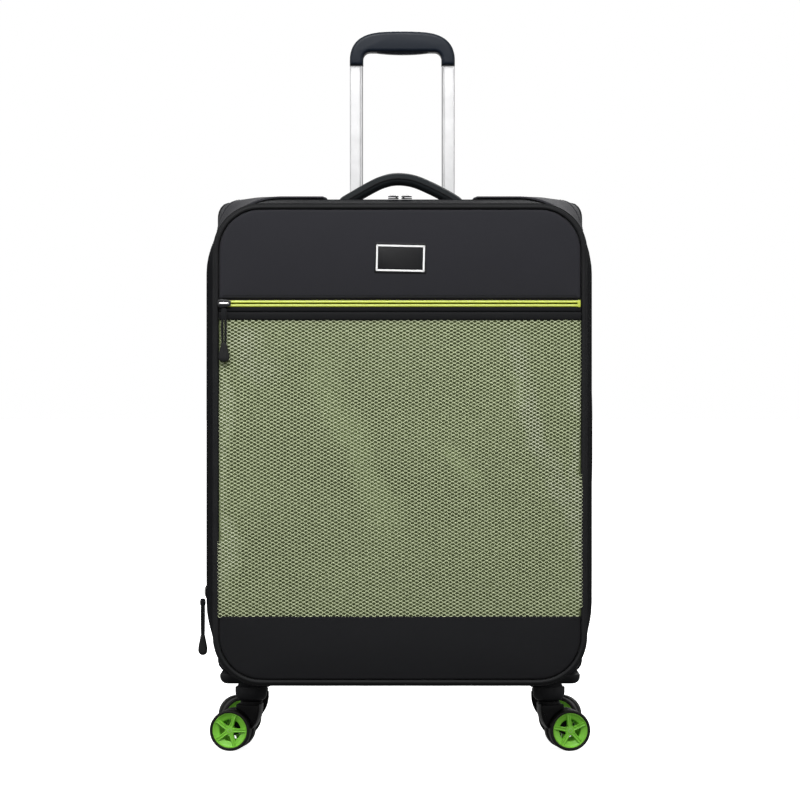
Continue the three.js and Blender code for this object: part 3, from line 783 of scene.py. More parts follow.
def build_mesh_panel():
    x, z, a, b = net_cells()
    wide, narrow = 3.05, a - 3.05
    hexagon = np.array([(wide, 0), (narrow, b), (-narrow, b), (-wide, 0), (-narrow, -b), (narrow, -b)])
    hole = np.array([(2.55, 0), (1.15, 1.32), (-1.15, 1.32), (-2.55, 0), (-1.15, -1.32), (1.15, -1.32)])
    centres = np.stack([x, z], 1)
    placed = drift(centres)
    inside = (np.abs(placed[:, 0]) < half_width(PANEL, placed[:, 1]) - 0.5) & (placed[:, 1] > MESH_LOW - 1)
    inside &= placed[:, 1] < MESH_TOP + 1.5
    centres = centres[inside]
    outer = drift((centres[:, None] + hexagon).reshape(-1, 2))
    inner = drift((centres[:, None] + hole).reshape(-1, 2))
    keys, index = np.unique(np.round(outer, 3), axis=0, return_inverse=True)
    index = index.reshape(-1, 6)
    crest = np.stack([keys[:, 0], FRONT_Y - 0.15 - net_depth(keys[:, 0], keys[:, 1]) * 0.6, keys[:, 1]], 1)
    rim = np.stack([inner[:, 0], FRONT_Y + 0.45 - net_depth(inner[:, 0], inner[:, 1]) * 0.6, inner[:, 1]], 1)
    rim_index = np.arange(len(rim)).reshape(-1, 6) + len(crest)
    nxt = [1, 2, 3, 4, 5, 0]
    faces = np.stack([index, index[:, nxt], rim_index[:, nxt], rim_index], -1).reshape(-1, 4)
    net = piece("mesh_net", [(np.concatenate([crest, rim]), faces.tolist())], "sage_threads", "lid",
                ["mesh_panel"], keep_normals=True, sharp=180)

    zs = np.linspace(MESH_LOW - 2, MESH_TOP + 2, 60)[:, None]
    xs = np.linspace(-1, 1, 70)[None, :] * half_width(PANEL, zs)
    zs = np.broadcast_to(zs, xs.shape)
    rows = np.stack([xs, FRONT_Y + 1.7 - 0.9 * net_depth(xs, zs), zs], -1)
    backing = piece("mesh_backing", [sheet_of(rows)], "olive_backing", "lid",
                    keep_normals=True)
    thicken(backing, 0.5)


def ribbed_cord(path, radius, pitch, ribs=0.16, sides=8, closed=False):
    """A round coil row seen as ribs a pitch apart."""
    even = evenly(path, pitch / 3, closed)
    size = 1 - ribs * (np.cos(np.arange(len(even)) * 2 * math.pi / 3) > 0.5)
    section = oval(2 * radius, 2 * radius, sides)[None] * size[:, None, None]
    return tube_of(sweep(even, section, (0, 1, 0), closed), closed)


def build_pocket_zipper():
    rows = []
    left, right = -218.2, 215.2
    for z in (545.8, 541.3):
        path = [(left, FRONT_Y - 0.1, z), (right, FRONT_Y - 0.1, z)]
        rows.append(ribbed_cord(path, 1.75, 1.5, ribs=0.07))
    piece("pocket_zipper_coils", rows, "lime_coil", "lid", ["pocket_zipper"])
    tape = extrusion([(left, 539.2), (right + 2, 539.2), (right + 2, 549.4), (left, 549.4)], FRONT_Y + 0.9,
                     FRONT_Y + 1.7, 0.2, 2, False)
    piece("pocket_zipper_tape", [tape], "zipper_tape", "lid")
    stop = extrusion(rounded_rectangle(3.4, 8.6, 0.8, 3, 214.8, 543.6), FRONT_Y - 2.5, FRONT_Y + 1, 0.5, 2,
                     False)
    piece("pocket_zipper_end", [stop], "lime_coil", "lid")

    # Two folded bindings below the coils, and the shadow gap between them.
    shells = []
    for low, high, proud in ((533.9, 540.0, 1.0), (523.6, 533.7, 1.5)):
        xs = clustered(-1, 1, 90, 0.5)
        ring = []
        section = oval(high - low, 2 * proud + 1.4, 20, 2.6)
        for x in xs * (half_width(PANEL, np.array(MESH_TOP)) - 0.2):
            sag = 0.25 * ripple(np.array(x), np.array(low), 40, 12)
            ring.append([(x, FRONT_Y + 0.9 + s - 0.3 * sag, (low + high) / 2 + c) for c, s in section])
        shells.append(tube_of(ring))
    band = piece("pocket_band", shells, "binding", "lid")
    thread = stitches([(-214, FRONT_Y - 0.75, 526.6), (214, FRONT_Y - 0.75, 526.6)])
    piece("band_stitching", thread, "thread", "lid")


def wavering(o, y, inset=0, amount=0.35, seed=5):
    """An outline as a path in space, a little uneven as sewn edges are."""
    path = station(y, o, inset)
    path = evenly(path, 5, True)
    path[:, 1] += amount * ripple(path[:, 0], path[:, 2], 60, seed)
    return path


def build_piping():
    cord = tube_of(sweep(wavering(PIPE, FRONT_Y + 2.6), oval(5.7, 5.7, 16), closed=True), True)
    flange = [(-4.6, 0.5), (-1.2, 0.3), (-1.2, 1.4), (-4.6, 1.2)]
    rim = tube_of(sweep(wavering(PIPE, FRONT_Y + 2.2), flange, closed=True), True)
    piece("lid_piping", [cord, rim], "piping", "lid", ["lid_piping"])


def build_lid_shell():
    gusset = [
        (FRONT_Y + 3.4, LID_FRONT, 4.4), (FRONT_Y + 3.6, LID_FRONT, 1.6), (FRONT_Y + 4.6, LID_FRONT, 0.4),
        (FRONT_Y + 6, LID_FRONT, 0),
    ]
    for t in (0.12, 0.25, 0.4, 0.55, 0.7, 0.82, 0.9):
        y = FRONT_Y + 6 + (ZIP_Y - 1.5 - FRONT_Y - 6) * t
        gusset.append((y, between(LID_FRONT, LID_REAR, t), -0.5 * math.sin(math.pi * min(t / 0.9, 1)) ** 0.7))
    gusset += [(ZIP_Y - 5.2, LID_REAR, 0.8), (ZIP_Y - 4.4, LID_REAR, 0.0), (ZIP_Y - 2.6, LID_REAR, -0.1),
               (ZIP_Y - 1.6, LID_REAR, 0.6), (ZIP_Y - 1.5, LID_REAR, 1.9), (ZIP_Y - 4, LID_REAR, 2.8)]
    rows = [station(y, o, inset) for y, o, inset in gusset]
    # The gusset takes the darker side cloth: painted shade.
    piece("lid_gusset", [tube_of(rows, caps=False)], "gusset_fabric_painted_shade", "lid",
          ["lid_shell"], sharp=60)
    thread = station(ZIP_Y - 6.6, between(LID_FRONT, LID_REAR, 0.86), -0.45)
    piece("lid_gusset_stitching", stitches(thread, closed=True), "thread", "lid")

    # Inside: the side lining, and a flat lining with a zipped mesh pocket.
    inner = [(ZIP_Y - 1.8, LID_REAR, 2.2), (ZIP_Y - 2.4, LID_REAR, 3.2),
             (-115, between(LID_FRONT, LID_REAR, 0.5), 3.3),
             (FRONT_Y + 13, LID_FRONT, 3.5), (FRONT_Y + 8.6, LID_FRONT, 6), (FRONT_Y + 7, LID_FRONT, 11)]
    rows = [station(y, o, inset) for y, o, inset in inner]
    lining = tube_of(rows, caps=False)
    floor = (rows[-1], [list(range(len(rows[-1])))])
    lining = piece("lid_lining", [lining, floor], "lining_fabric", "lid", weld=True)
    pocket_z = np.linspace(110, 560, 60)[:, None]
    pocket_x = np.linspace(-1, 1, 60)[None, :] * 196
    to_edge = np.minimum(196 - np.abs(pocket_x), np.minimum(pocket_z - 110, 560 - pocket_z))
    proud = 4 * np.clip(to_edge / 30, 0, 1)
    y = FRONT_Y + 8 + proud + 1.2 * ripple(pocket_x, pocket_z, 120, 21) * proud / 4
    rows = np.stack([np.broadcast_to(pocket_x, y.shape), y, np.broadcast_to(pocket_z, y.shape)], -1)
    pocket = piece("lid_pocket", [sheet_of(rows)], "lining_fabric", "lid",
                   keep_normals=True)
    thicken(pocket, 0.6, 1)
    coil = ribbed_cord([(-190, FRONT_Y + 9.5, 562), (190, FRONT_Y + 9.5, 562)], 1.6, 1.8)
    tape = extrusion([(-196, 556), (196, 556), (196, 568), (-196, 568)], FRONT_Y + 7.5, FRONT_Y + 8.6, 0.3,
                     2, False)
    piece("lid_pocket_zipper", [coil, tape], "black_coil", "lid")


def build_badge():
    low, high = node_box("badge")
    cx, cz = (low[0] + high[0]) / 2, (low[2] + high[2]) / 2
    turn = Matrix.Rotation(math.radians(1.2), 4, "Y")
    place = Matrix.Translation((cx, FRONT_Y - 0.3, cz)) @ turn
    plate = extrusion(rounded_rectangle(63, 37, 2.5), -2.6, 0, 0.8, 4, False)
    well = extrusion(rounded_rectangle(53, 26, 0.8), -2.75, -2.4, 0.15, 2, False)
    piece("badge_plate", [moved(plate, place), moved(well, place)], "badge_black", "lid",
          ["badge"])
    border, line = rounded_rectangle(58.6, 31.8, 1.0, 4), 2.3
    rings = []
    for inset, depth in ((0.0, -2.5), (0.25, -2.95), (line - 0.25, -2.95), (line, -2.5)):
        flat = inset_shape(border, inset)
        rings.append(np.stack([flat[:, 0], np.full(len(flat), depth), flat[:, 1]], 1))
    piece("badge_frame", [moved(tube_of(rings, True), place)], "badge_white", "lid")


# ---- Front frame, zippers and body ------------------------------------------------------------------
def build_front_band():
    front, rear = ZIP_Y + 1.3, SPLIT_Y - 1.3
    shape = [(0.0, 2.6), (0.0, 1.0), (0.04, 0.4), (0.12, 0), (0.2, 0), (0.26, 0.7), (0.3, 0.5), (0.5, -0.2),
             (0.7, 0.5), (0.74, 0.7), (0.8, 0), (0.88, 0), (0.96, 0.4), (1.0, 1.0), (1.0, 2.6), (0.85, 3.2),
             (0.15, 3.2)]
    rows = [station(front + (rear - front) * t, between(LID_REAR, FRAME_REAR, t), inset) for t,
            inset in shape]
    # The band takes the darker side cloth: painted shade.
    piece("front_band", [tube_of(rows, True)], "gusset_fabric_painted_shade", "front_frame",
          ["front_band"], sharp=60)
    rows = []
    for t in (0.17, 0.8):
        rows += stitches(station(front + (rear - front) * t, between(LID_REAR, FRAME_REAR, t), -0.1),
                         closed=True)
    piece("front_band_stitching", rows, "thread", "front_frame")


def build_ring_zippers():
    for name, o, y in (("main_zipper", LID_REAR, ZIP_Y), ("expander_zipper", FRAME_REAR, SPLIT_Y)):
        coil = ribbed_cord(station(y, o, 0.9), 1.0, 1.9, ribs=0.22, sides=6, closed=True)
        tape = [(1.2, -1.25), (3.4, -1.25), (3.4, 1.25), (1.2, 1.25)]
        back = tube_of(sweep(evenly(station(y, o), 6, True), tape, closed=True), True)
        body = "front_frame" if name == "main_zipper" else "case"
        piece(name + "_coil", [coil, back], "black_coil", body, [name])


def body_outline(y):
    """The body's outline at a depth, as the CAD lofts it."""
    if y < 0:
        return between(BODY_FRONT, BODY_MID, (y - SPLIT_Y - 1.3) / (-SPLIT_Y - 1.3))
    if y < SHOULDER_Y:
        return between(BODY_MID, BODY_SHOULDER, y / SHOULDER_Y)
    return between(BODY_SHOULDER, BODY_REAR, (y - SHOULDER_Y) / (REAR_Y - SHOULDER_Y))


def cup_opening(rows):
    """Marks the faces of a lofted body that lie over the trolley cup."""
    faces = quads(*rows.shape[:2], False, True)
    centre = rows.reshape(-1, 3)[faces].mean(1)
    top = (centre[:, 2] > 600) & (np.abs(centre[:, 0]) < CUP_HALF_X)
    over = top & (centre[:, 1] > CUP_Y[0]) & (centre[:, 1] < CUP_Y[1])
    return faces[~over].tolist()


def build_body_skin():
    front, rear = SPLIT_Y + 1.3, REAR_Y - 0.3
    ys = np.concatenate([
        [front + 3, front, front + 0.3, front + 2, front + 4, front + 6, front + 8],
        np.sort(np.append(np.linspace(front + 14, CUP_Y[0], 20),
                          SEAM_Y + np.array([-1.6, -0.8, 0, 0.8, 1.6]))),
        np.linspace(CUP_Y[0], CUP_Y[1], 6)[1:],
        [rear - 5.5, rear - 4, rear - 2.4, rear - 1, rear],
    ])
    insets = 1.2 * np.exp(-((ys - SEAM_Y) / 0.9) ** 2)
    insets[:7] = [3.0, 1.6, 0.3, -0.4, -0.3, 0.5, 0.1]
    insets[-5:] = [0.2, 0.7, -0.2, 0.0, 1.0]
    rows = np.stack([station(y, body_outline(y), inset) for y, inset in zip(ys, insets)])
    faces = cup_opening(rows)
    skin = piece("body_skin", [(rows.reshape(-1, 3), faces)], "charcoal_fabric", sharp=60)
    index = np.arange(rows.size // 3).reshape(rows.shape[:2])
    flat = rows.reshape(-1, 3)
    hole = (flat[:, 2] > 600) & (np.abs(flat[:, 0]) < CUP_HALF_X + 14) & (flat[:, 1] > CUP_Y[0] - 14)
    seam = np.abs(flat[:, 1] - SEAM_Y) < 2
    pinned = set(index[:7].ravel()) | set(index[-5:].ravel()) | set(np.flatnonzero(hole | seam))
    swell(skin, sorted(pinned), 2.0, 5.0, (1, 0.3, 0.25))
    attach(skin, "case")
    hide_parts("body_gusset")
    thicken(skin, 1.0)
    rows = []
    for y in (front + 7.2, SEAM_Y + 3.4, rear - 5.0):
        rows += stitches(station(y, body_outline(y), -0.15), closed=True)
    piece("body_stitching", rows, "thread", "case")
    cord = tube_of(sweep(wavering(BODY_REAR, REAR_Y + 0.4, 0.6, 0.2, 9), oval(4.6, 4.6, 12), closed=True),
                   True)
    piece("rear_piping", [cord], "piping", "case")


def build_body_lining():
    ys = np.concatenate([[SPLIT_Y + 3.6, SPLIT_Y + 4.2], np.linspace(SPLIT_Y + 12, CUP_Y[0], 10),
                         np.linspace(CUP_Y[0], CUP_Y[1], 4)[1:], [REAR_Y - 4.6]])
    rows = np.stack([station(y, body_outline(y), 3.6 + (y > SPLIT_Y + 4)) for y in ys])
    lining = piece("body_lining", [(rows.reshape(-1, 3), cup_opening(rows))], "lining_fabric", "case",
                   sharp=60)
    back = station(REAR_Y - 1.2, BODY_REAR, 4.6)
    flat = (back, [list(range(len(back)))])
    lining = piece("rear_lining", [flat], "lining_fabric", "case")


def build_expansion_gusset():
    """The folded cloth of the expander, between the front frame and the body."""
    folds = [(SPLIT_Y + 5, 4.4), (SPLIT_Y + 3.4, 5.2), (SPLIT_Y + 2.2, 14), (SPLIT_Y + 0.6, 24),
             (SPLIT_Y - 0.6, 24),
             (SPLIT_Y - 2.2, 14), (SPLIT_Y - 3.4, 5.2), (SPLIT_Y - 5, 4.4)]
    rows = [station(y, FRAME_REAR, inset) for y, inset in folds]
    made = piece("expansion_gusset", [tube_of(rows, caps=False)], "binding", None,
                 sharp=60)
    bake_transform(made)


def build_back():
    zs = clustered(BODY_REAR["low"] + 0.8, BODY_REAR["high"] - 0.8, 70, 0.6)[:, None]
    xs = clustered(1, -1, 80, 0.6)[None, :] * (half_width(BODY_REAR, zs) - 0.6)
    dip = BODY_REAR["notch"] * notch_dip(xs) * np.clip((zs - 600) / 80, 0, 1)
    z = zs - dip
    edge = np.maximum(edge_distance(BODY_REAR, xs, zs), 0)
    seams = np.zeros_like(edge)
    for at in (-96, -20, 20, 96):
        seams = np.maximum(seams, np.exp(-((xs - at) / 2.2) ** 2) * (edge > 6))
    for level in (170, 600):
        seams = np.maximum(seams, np.exp(-((zs - level) / 2.2) ** 2) * (np.abs(xs) > 96) * (edge > 4))
    proud = 5.0 * (1 - np.exp(-edge / 7)) - 1.3 * seams + 0.25 * ripple(xs, zs, 80, 31)
    rows = np.stack([xs, REAR_Y + 0.9 + proud, z], -1)
    made = piece("back_skin", [sheet_of(rows)], "charcoal_fabric", "case",
                 ["back_panel"], keep_normals=True, sharp=60)
    thicken(made, 1.2)
    rows = []
    for at in (-96, -20, 20, 96):
        rows += stitches([(at, BACK_Y - 1.3, 92), (at, BACK_Y - 1.3, 655)])
    piece("back_stitching", rows, "thread", "case")


# ---- Inside: channel lining and packing straps ------------------------------------------------------
def build_channel():
    near = [(-229, 128.6), (-95, 128.6), (-88, 127.5), (-77, 90), (-72, 88), (-46, 88), (-40, 90),
            (-33, 110.5),
            (-28, 112)]
    corner = smooth_curve([(x, y, 0) for x, y in near + [(-x, y) for x, y in near[::-1]]], 5)
    zs = np.linspace(98, 639, 40)
    rows = np.stack([np.stack([corner[:, 0], corner[:, 1]
                               + 0.5 * ripple(corner[:, 0], np.full(len(corner), z), 70, 41),
                               np.full(len(corner), z)], 1) for z in zs])
    made = piece("channel_lining", [sheet_of(rows)], "lining_fabric", "case",
                 ["trolley_channel"], keep_normals=True, sharp=60)
    thicken(made, 1.6)
    straps, width = [], 25
    section = rounded_rectangle(width, 1.4, 0.6, 2)
    for z in (300, 470):
        for side in (-1, 1):
            xs = np.linspace(side * 228, side * 14, 30)
            ys = 84 - 4 * np.sin(np.linspace(0, math.pi, 30)) * 0.4
            ys[:4] = [104, 94, 88, 85]
            path = np.stack([xs, ys, np.full(30, float(z))], 1)
            normal = (0, 0, 1)
            straps.append(tube_of(sweep(path, section[:, ::-1], normal)))
    made = piece("packing_straps", straps, "black_webbing", "case")
    buckles = []
    for z in (300, 470):
        buckles.append(extrusion(rounded_rectangle(46, 32, 5, 5, 0, z), 79.5, 86.5, 2, 4, False))
        buckles.append(extrusion(rounded_rectangle(14, 38, 4, 5, 0, z), 80.5, 85.5, 1.5, 3, False))
    piece("packing_buckles", buckles, "black_plastic", "case")


# ---- Trolley ----------------------------------------------------------------------------------------
def hollow_tube(width, depth, radii, wall, low, high, x):
    """A tube with a soft upper rim."""
    shape = rounded_rectangle(width, depth, radii, 8)
    inner = inset_shape(shape, wall)
    rings = []
    for flat, z in ((shape, low), (shape, high - 0.3), (inset_shape(shape, 0.3), high), (inner, high),
                    (inner, low)):
        rings.append(np.stack([flat[:, 0] + x, flat[:, 1] + TROLLEY_Y, np.full(len(flat), float(z))], 1))
    return tube_of(rings, True)


def build_trolley_tubes():
    stages = (
        ("outer", 25.4, 21.2, 5.5, 5.5, 1.2, "case"),
        ("middle", 21, 16.8, 4.6, 4.6, 1.1, "trolley_middle"),
        ("upper", 16.6, 12.4, 1.6, 4.8, 1.0, "trolley_upper"),
    )
    for stage, width, depth, outer_r, inner_r, wall, body in stages:
        for side, sign in (("left", -1), ("right", 1)):
            name = f"{stage}_tube_{side}"
            low, high = node_box(name)
            radii = (inner_r, outer_r) if sign < 0 else (outer_r, inner_r)
            tube = hollow_tube(width, depth, radii, wall, low[2], high[2], sign * TUBE_X + TROLLEY_X)
            piece("trolley_" + name, [tube], "anodised_tube", body, [name])
    foot = extrusion(rounded_rectangle(160, 28, 4), 82, 87.7, 1.2, 3)
    ribs = [extrusion(rounded_rectangle(3, 26, 1, 3, x, 0), 87, 87.7, 0.2, 1) for x in (-30, -10, 10, 30)]
    shift = Matrix.Translation((0, TROLLEY_Y, 0))
    piece("trolley_foot_block", [moved(s, shift) for s in (foot, *ribs)], "black_plastic", "case",
          ["trolley_foot"])


def build_cup():
    """The flange, the well for the grip and the two tube holes, as one moulding."""
    levels = [
        (152, 38, 8, 644.2), (152, 38, 8, NOTCH_TOP + 0.4), (166, 46, 10, NOTCH_TOP + 0.4),
        (166, 46, 10, NOTCH_TOP + 1.6), (165.2, 45.2, 9.6, NOTCH_TOP + 2.4),
              (163.6, 43.6, 9, NOTCH_TOP + 2.9),
        (161, 41, 8.4, NOTCH_TOP + 3), (149.6, 35.6, 7.2, NOTCH_TOP + 3), (147.4, 33.4, 6.6, NOTCH_TOP + 2.4),
        (146.2, 32.2, 6.1, NOTCH_TOP + 1), (146, 32, 6, NOTCH_TOP - 1), (145, 31, 5.6, 650),
              (143, 29, 5, 648.2),
    ]
    rings = []
    for width, depth, r, z in levels:
        flat = rounded_rectangle(width, depth, r, 8)
        rings.append(np.stack([flat[:, 0], flat[:, 1] + TROLLEY_Y, np.full(len(flat), z)], 1))
    cup = piece("cup_moulding", [tube_of(rings)], "black_plastic")
    tools = []
    for sign in (-1, 1):
        x = sign * TUBE_X + TROLLEY_X
        tube = extrusion(rounded_rectangle(21.8, 17.6, 5.5, 6, x, TROLLEY_Y), 630, 660)
        seat = extrusion(rounded_rectangle(26.2, 22, 5.5, 6, x, TROLLEY_Y), 630, 645.6)
        tools += [cutter(tube), cutter(seat)]
    cut(cup, *tools)
    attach(cup, "case")
    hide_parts("trolley_cup")


def bezier(p0, p1, p2, p3, steps):
    t = np.linspace(0, 1, steps + 1)[:, None]
    p0, p1, p2, p3 = (np.asarray(p, float) for p in (p0, p1, p2, p3))
    return (1 - t) ** 3 * p0 + 3 * (1 - t) ** 2 * t * p1 + 3 * (1 - t) * t**2 * p2 + t**3 * p3


def build_grip():
    half, inner, low, under, bend = 67.2, 50, 856, 872.9, 9
    outer = np.concatenate([
        bezier((half, low + 6), (half, 885), (53, 897), (26, 898.6), 16),
        bezier((26, 898.6), (10, 899.7), (-10, 899.7), (-26, 898.6), 10)[1:],
        bezier((-26, 898.6), (-53, 897), (-half, 885), (-half, low + 6), 16)[1:],
    ])
    left = arc(bend - inner, under - bend, bend, 180, 90, 8)
    right = arc(inner - bend, under - bend, bend, 90, 0, 8)
    shape = np.concatenate([[(half, low)], outer, [(-half, low)], [(-inner, low)], left,
                            [(-20, under), (20, under)], right, [(inner, low)]])
    bow = extrusion(shape, TROLLEY_Y - 13.5, TROLLEY_Y + 13.5, 4.6, 6, False)
    shift = Matrix.Translation((TROLLEY_X, 0, 0))
    grip = piece("grip_moulding", [moved(bow, shift)], "slate_grip")
    slot = extrusion(rounded_rectangle(66.6, 16.6, 5, 6, TROLLEY_X, TROLLEY_Y), 860, 888, 0)
    cut(grip, cutter(slot))
    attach(grip, "trolley_upper")
    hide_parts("grip")
    collars = []
    for sign in (-1, 1):
        x = sign * TUBE_X + TROLLEY_X
        collars.append(extrusion(rounded_rectangle(16.2, 16, 3, 6, x, TROLLEY_Y), 855.6, 857.5, 0.4, 2))
        collars.append(extrusion(rounded_rectangle(13.4, 9.2, 3.2, 5, x, TROLLEY_Y), 836, 857, 0.6, 2))
    piece("grip_collars", collars, "trigger_black", "trolley_upper")
    t = np.linspace(-1, 1, 25)
    belly = np.stack([32.5 * t, 872.4 - 2.0 * (1 - t * t)], 1)
    bar = extrusion(np.concatenate([belly, [(32.5, 882), (-32.5, 882)]]), TROLLEY_Y - 7.7, TROLLEY_Y + 7.7,
                    2, 4, False)
    piece("trigger_bar", [moved(bar, shift)], "trigger_black", "trigger", ["trigger"])


# ---- Carry handles ----------------------------------------------------------------------------------
def build_carry_handle():
    route = smooth_curve([(-80, 10, 665), (-74, 10, 671), (-66, 10, 676.5), (-56, 10, 682.3),
                          (-40, 10, 691.5),
                          (-23, 10, 699.8), (-5, 10, 703.8), (16, 10, 701.6), (38, 10, 692.8),
                          (58, 10, 682.5),
                          (68, 10, 676.5), (76, 10, 671), (82, 10, 665)], 6)
    t = np.linspace(-1, 1, len(route))
    body = 1 - ease(np.clip((np.abs(t) - 0.7) / 0.26, 0, 1))
    base = oval(1, 1, 24, 2.3)
    thick, wide = 6.5 + 9.3 * body, 29 - 3 * body
    section = np.stack([base[None, :, 0] * thick[:, None], base[None, :, 1] * wide[:, None]], -1)
    rings = sweep(route, section)
    handle = piece("carry_handle_pad", [tube_of(rings)], "handle_fabric", "case",
                   ["carry_handle"], sharp=60)
    shells = []
    for side in (-1, 1):
        edge = route.copy()
        edge[:, 1] += side * wide * 0.5
        shells.append(tube_of(sweep(edge[8:-8], oval(1.9, 1.9, 8))))
    piece("carry_handle_seams", shells, "binding", "case")
    tabs, threads = [], []
    for sign in (-1, 1):
        tab = rounded_rectangle(24, 34, 5, 6, sign * 73, 10)
        tabs.append(extrusion(tab, NOTCH_TOP - 0.2, NOTCH_TOP + 2.2, 0.8, 3))
        rim = inset_shape(tab, 2.2)
        path = np.stack([rim[:, 0], rim[:, 1], np.full(len(rim), NOTCH_TOP + 2.25)], 1)
        threads += stitches(path, normal=(0, 0, 1), closed=True)
    piece("carry_handle_tabs", tabs, "black_plastic", "case")
    piece("carry_handle_stitching", threads, "thread", "case")


def build_side_handle():
    low, high = node_box("side_handle")
    reach = BODY_MID["w"] + 0.3
    y = (low[1] + high[1]) / 2
    route = smooth_curve([(reach + 0.6, y, 252), (reach + 1.6, y, 272), (reach + 3.4, y, 292),
                          (reach + 6.4, y, 325),
                          (reach + 7, y, 380), (reach + 6.4, y, 435), (reach + 3.4, y, 468),
                          (reach + 1.6, y, 488),
                          (reach + 0.6, y, 508)], 8)
    t = np.linspace(-1, 1, len(route))
    middle = 1 - ease(np.clip((np.abs(t) - 0.4) / 0.2, 0, 1))
    base = rounded_rectangle(1, 1, 0.3, 4)
    section = np.stack([base[None, :, 0] * (2.0 + 2.4 * middle)[:, None],
                        base[None, :, 1] * (28 + 2 * middle)[:, None]], -1)
    handle = piece("side_handle_strap", [tube_of(sweep(route, section))], "black_webbing", "case",
                   ["side_handle"], sharp=60)
    plates, threads = [], []
    to_side = Matrix.Translation((reach, y, 0)) @ Matrix.Rotation(math.radians(90), 4, "Y")
    for z in (262, 498):
        plate = extrusion(rounded_rectangle(30, 36, 4, 6, -z, 0), -0.6, 2.4, 0.9, 3)
        plates.append(moved(plate, to_side))
        rim = inset_shape(rounded_rectangle(30, 36, 4, 6, -z, 0), 2.4)
        path = np.stack([rim[:, 0], rim[:, 1], np.full(len(rim), 2.45)], 1)
        threads += [moved(s, to_side) for s in stitches(path, normal=(0, 0, 1), closed=True)]
    piece("side_handle_anchors", plates, "black_plastic", "case")
    piece("side_handle_stitching", threads, "thread", "case")


# ---- Sliders and pullers ----------------------------------------------------------------------------
def slider_shells(length, width, height):
    """A zipper slider along x with its top plate towards +z: two plates, a post and a bridge."""
    nose, tail = width / 2, width * 0.32
    half = length / 2
    plan = smooth_curve([(-half, -tail, 0), (-half * 0.2, -nose * 0.86, 0), (half * 0.5, -nose, 0),
                         (half * 0.92, -nose * 0.7, 0), (half, 0, 0), (half * 0.92, nose * 0.7, 0),
                         (half * 0.5, nose, 0), (-half * 0.2, nose * 0.86, 0), (-half, tail, 0)], 4)[:, :2]
    lower = extrusion(plan, 0, height * 0.2, 0.3, 2)
    upper = extrusion(plan, height * 0.42, height * 0.66, 0.4, 3)
    post = extrusion(rounded_rectangle(length * 0.2, width * 0.25, 0.6, 3, half * 0.6, 0), 0.2, height * 0.5,
                     0, 1)
    top = height - 0.9
    loop = smooth_curve([(-half * 0.66, 0, height * 0.5), (-half * 0.6, 0, top - 0.3), (-half * 0.25, 0, top),
                         (half * 0.35, 0, top), (half * 0.66, 0, top - 0.5), (half * 0.7, 0, height * 0.5)],
                        5)
    bridge = tube_of(sweep(loop, oval(1.5, 2.4, 10, 3)))
    return [lower, upper, post], bridge


def slider(name, size, place, body, node):
    """A dark slider with a polished bridge."""
    plates, bridge = slider_shells(*size)
    piece(f"{name}_body", [moved(s, place) for s in plates], "slider_black", body, [node])
    piece(f"{name}_bridge", [moved(bridge, place)], "slider_metal", body)


def basis(along, outward, origin):
    """A matrix that takes x to along and z to outward."""
    x, z = Vector(along), Vector(outward)
    y = z.cross(x)
    m = Matrix((x, y, z)).transposed().to_4x4()
    m.translation = origin
    return m


def teardrop(top, length, width, thickness, centre):
    """A flattened rubber end that hangs from top; centre is its (x, y)."""
    rows = []
    for t in np.linspace(0, 1, 26):
        flare = 0.56 + 0.44 * ease(min(t / 0.72, 1))
        end = math.sqrt(max(1 - max((t - 0.74) / 0.26, 0) ** 2, 0.0))
        lip = 1 - 0.18 * math.exp(-((t - 0.0) / 0.05) ** 2)
        groove = 1 - 0.07 * math.exp(-((t - 0.17) / 0.02) ** 2)
        size = flare * max(end, 0.04) * lip * groove
        section = oval(width * size, thickness * (0.8 + 0.2 * t) * max(end, 0.04) * lip, 20, 2.6)
        rows.append([(centre[0] + c, centre[1] + s, top - t * length) for c, s in section])
    return tube_of(rows)


def puller_shells(x, y, top, strap_length, cord_end, end_low, width, thickness, gap, lean=0.0):
    """Strap loop, twin cords and rubber end, hanging in the x-z plane. Returns (soft parts, rubber end)."""
    strap = []
    section = rounded_rectangle(1, 1, 0.3, 3)
    for z, w, d in ((top, 4.6, 2.6), (top - 1.5, 6.2, 3.2), (top - strap_length * 0.5, 7.0, 3.0),
                    (top - strap_length + 1, 6.6, 3.2), (top - strap_length, 5.8, 2.6)):
        strap.append([(x + u * w, y + v * d, z) for u, v in section])
    soft = [tube_of(strap)]
    start = top - strap_length
    for sign in (-1, 1):
        route = smooth_curve([(x + sign * gap * 0.9, y, start + 2),
                              (x + sign * gap + lean * 0.3, y, start - 8),
                              (x + sign * gap * 0.9 + lean * 0.7, y, cord_end + 8),
                              (x + sign * gap * 0.75 + lean, y, cord_end - 2)], 8)
        rope = evenly(route, 0.7)
        twist = 1 - 0.09 * (np.arange(len(rope)) % 3 == 0)
        soft.append(tube_of(sweep(rope, oval(2.9, 3.0, 8)[None] * twist[:, None, None])))
    end = teardrop(cord_end, cord_end - end_low, width, thickness, (x + lean, y))
    return soft, end


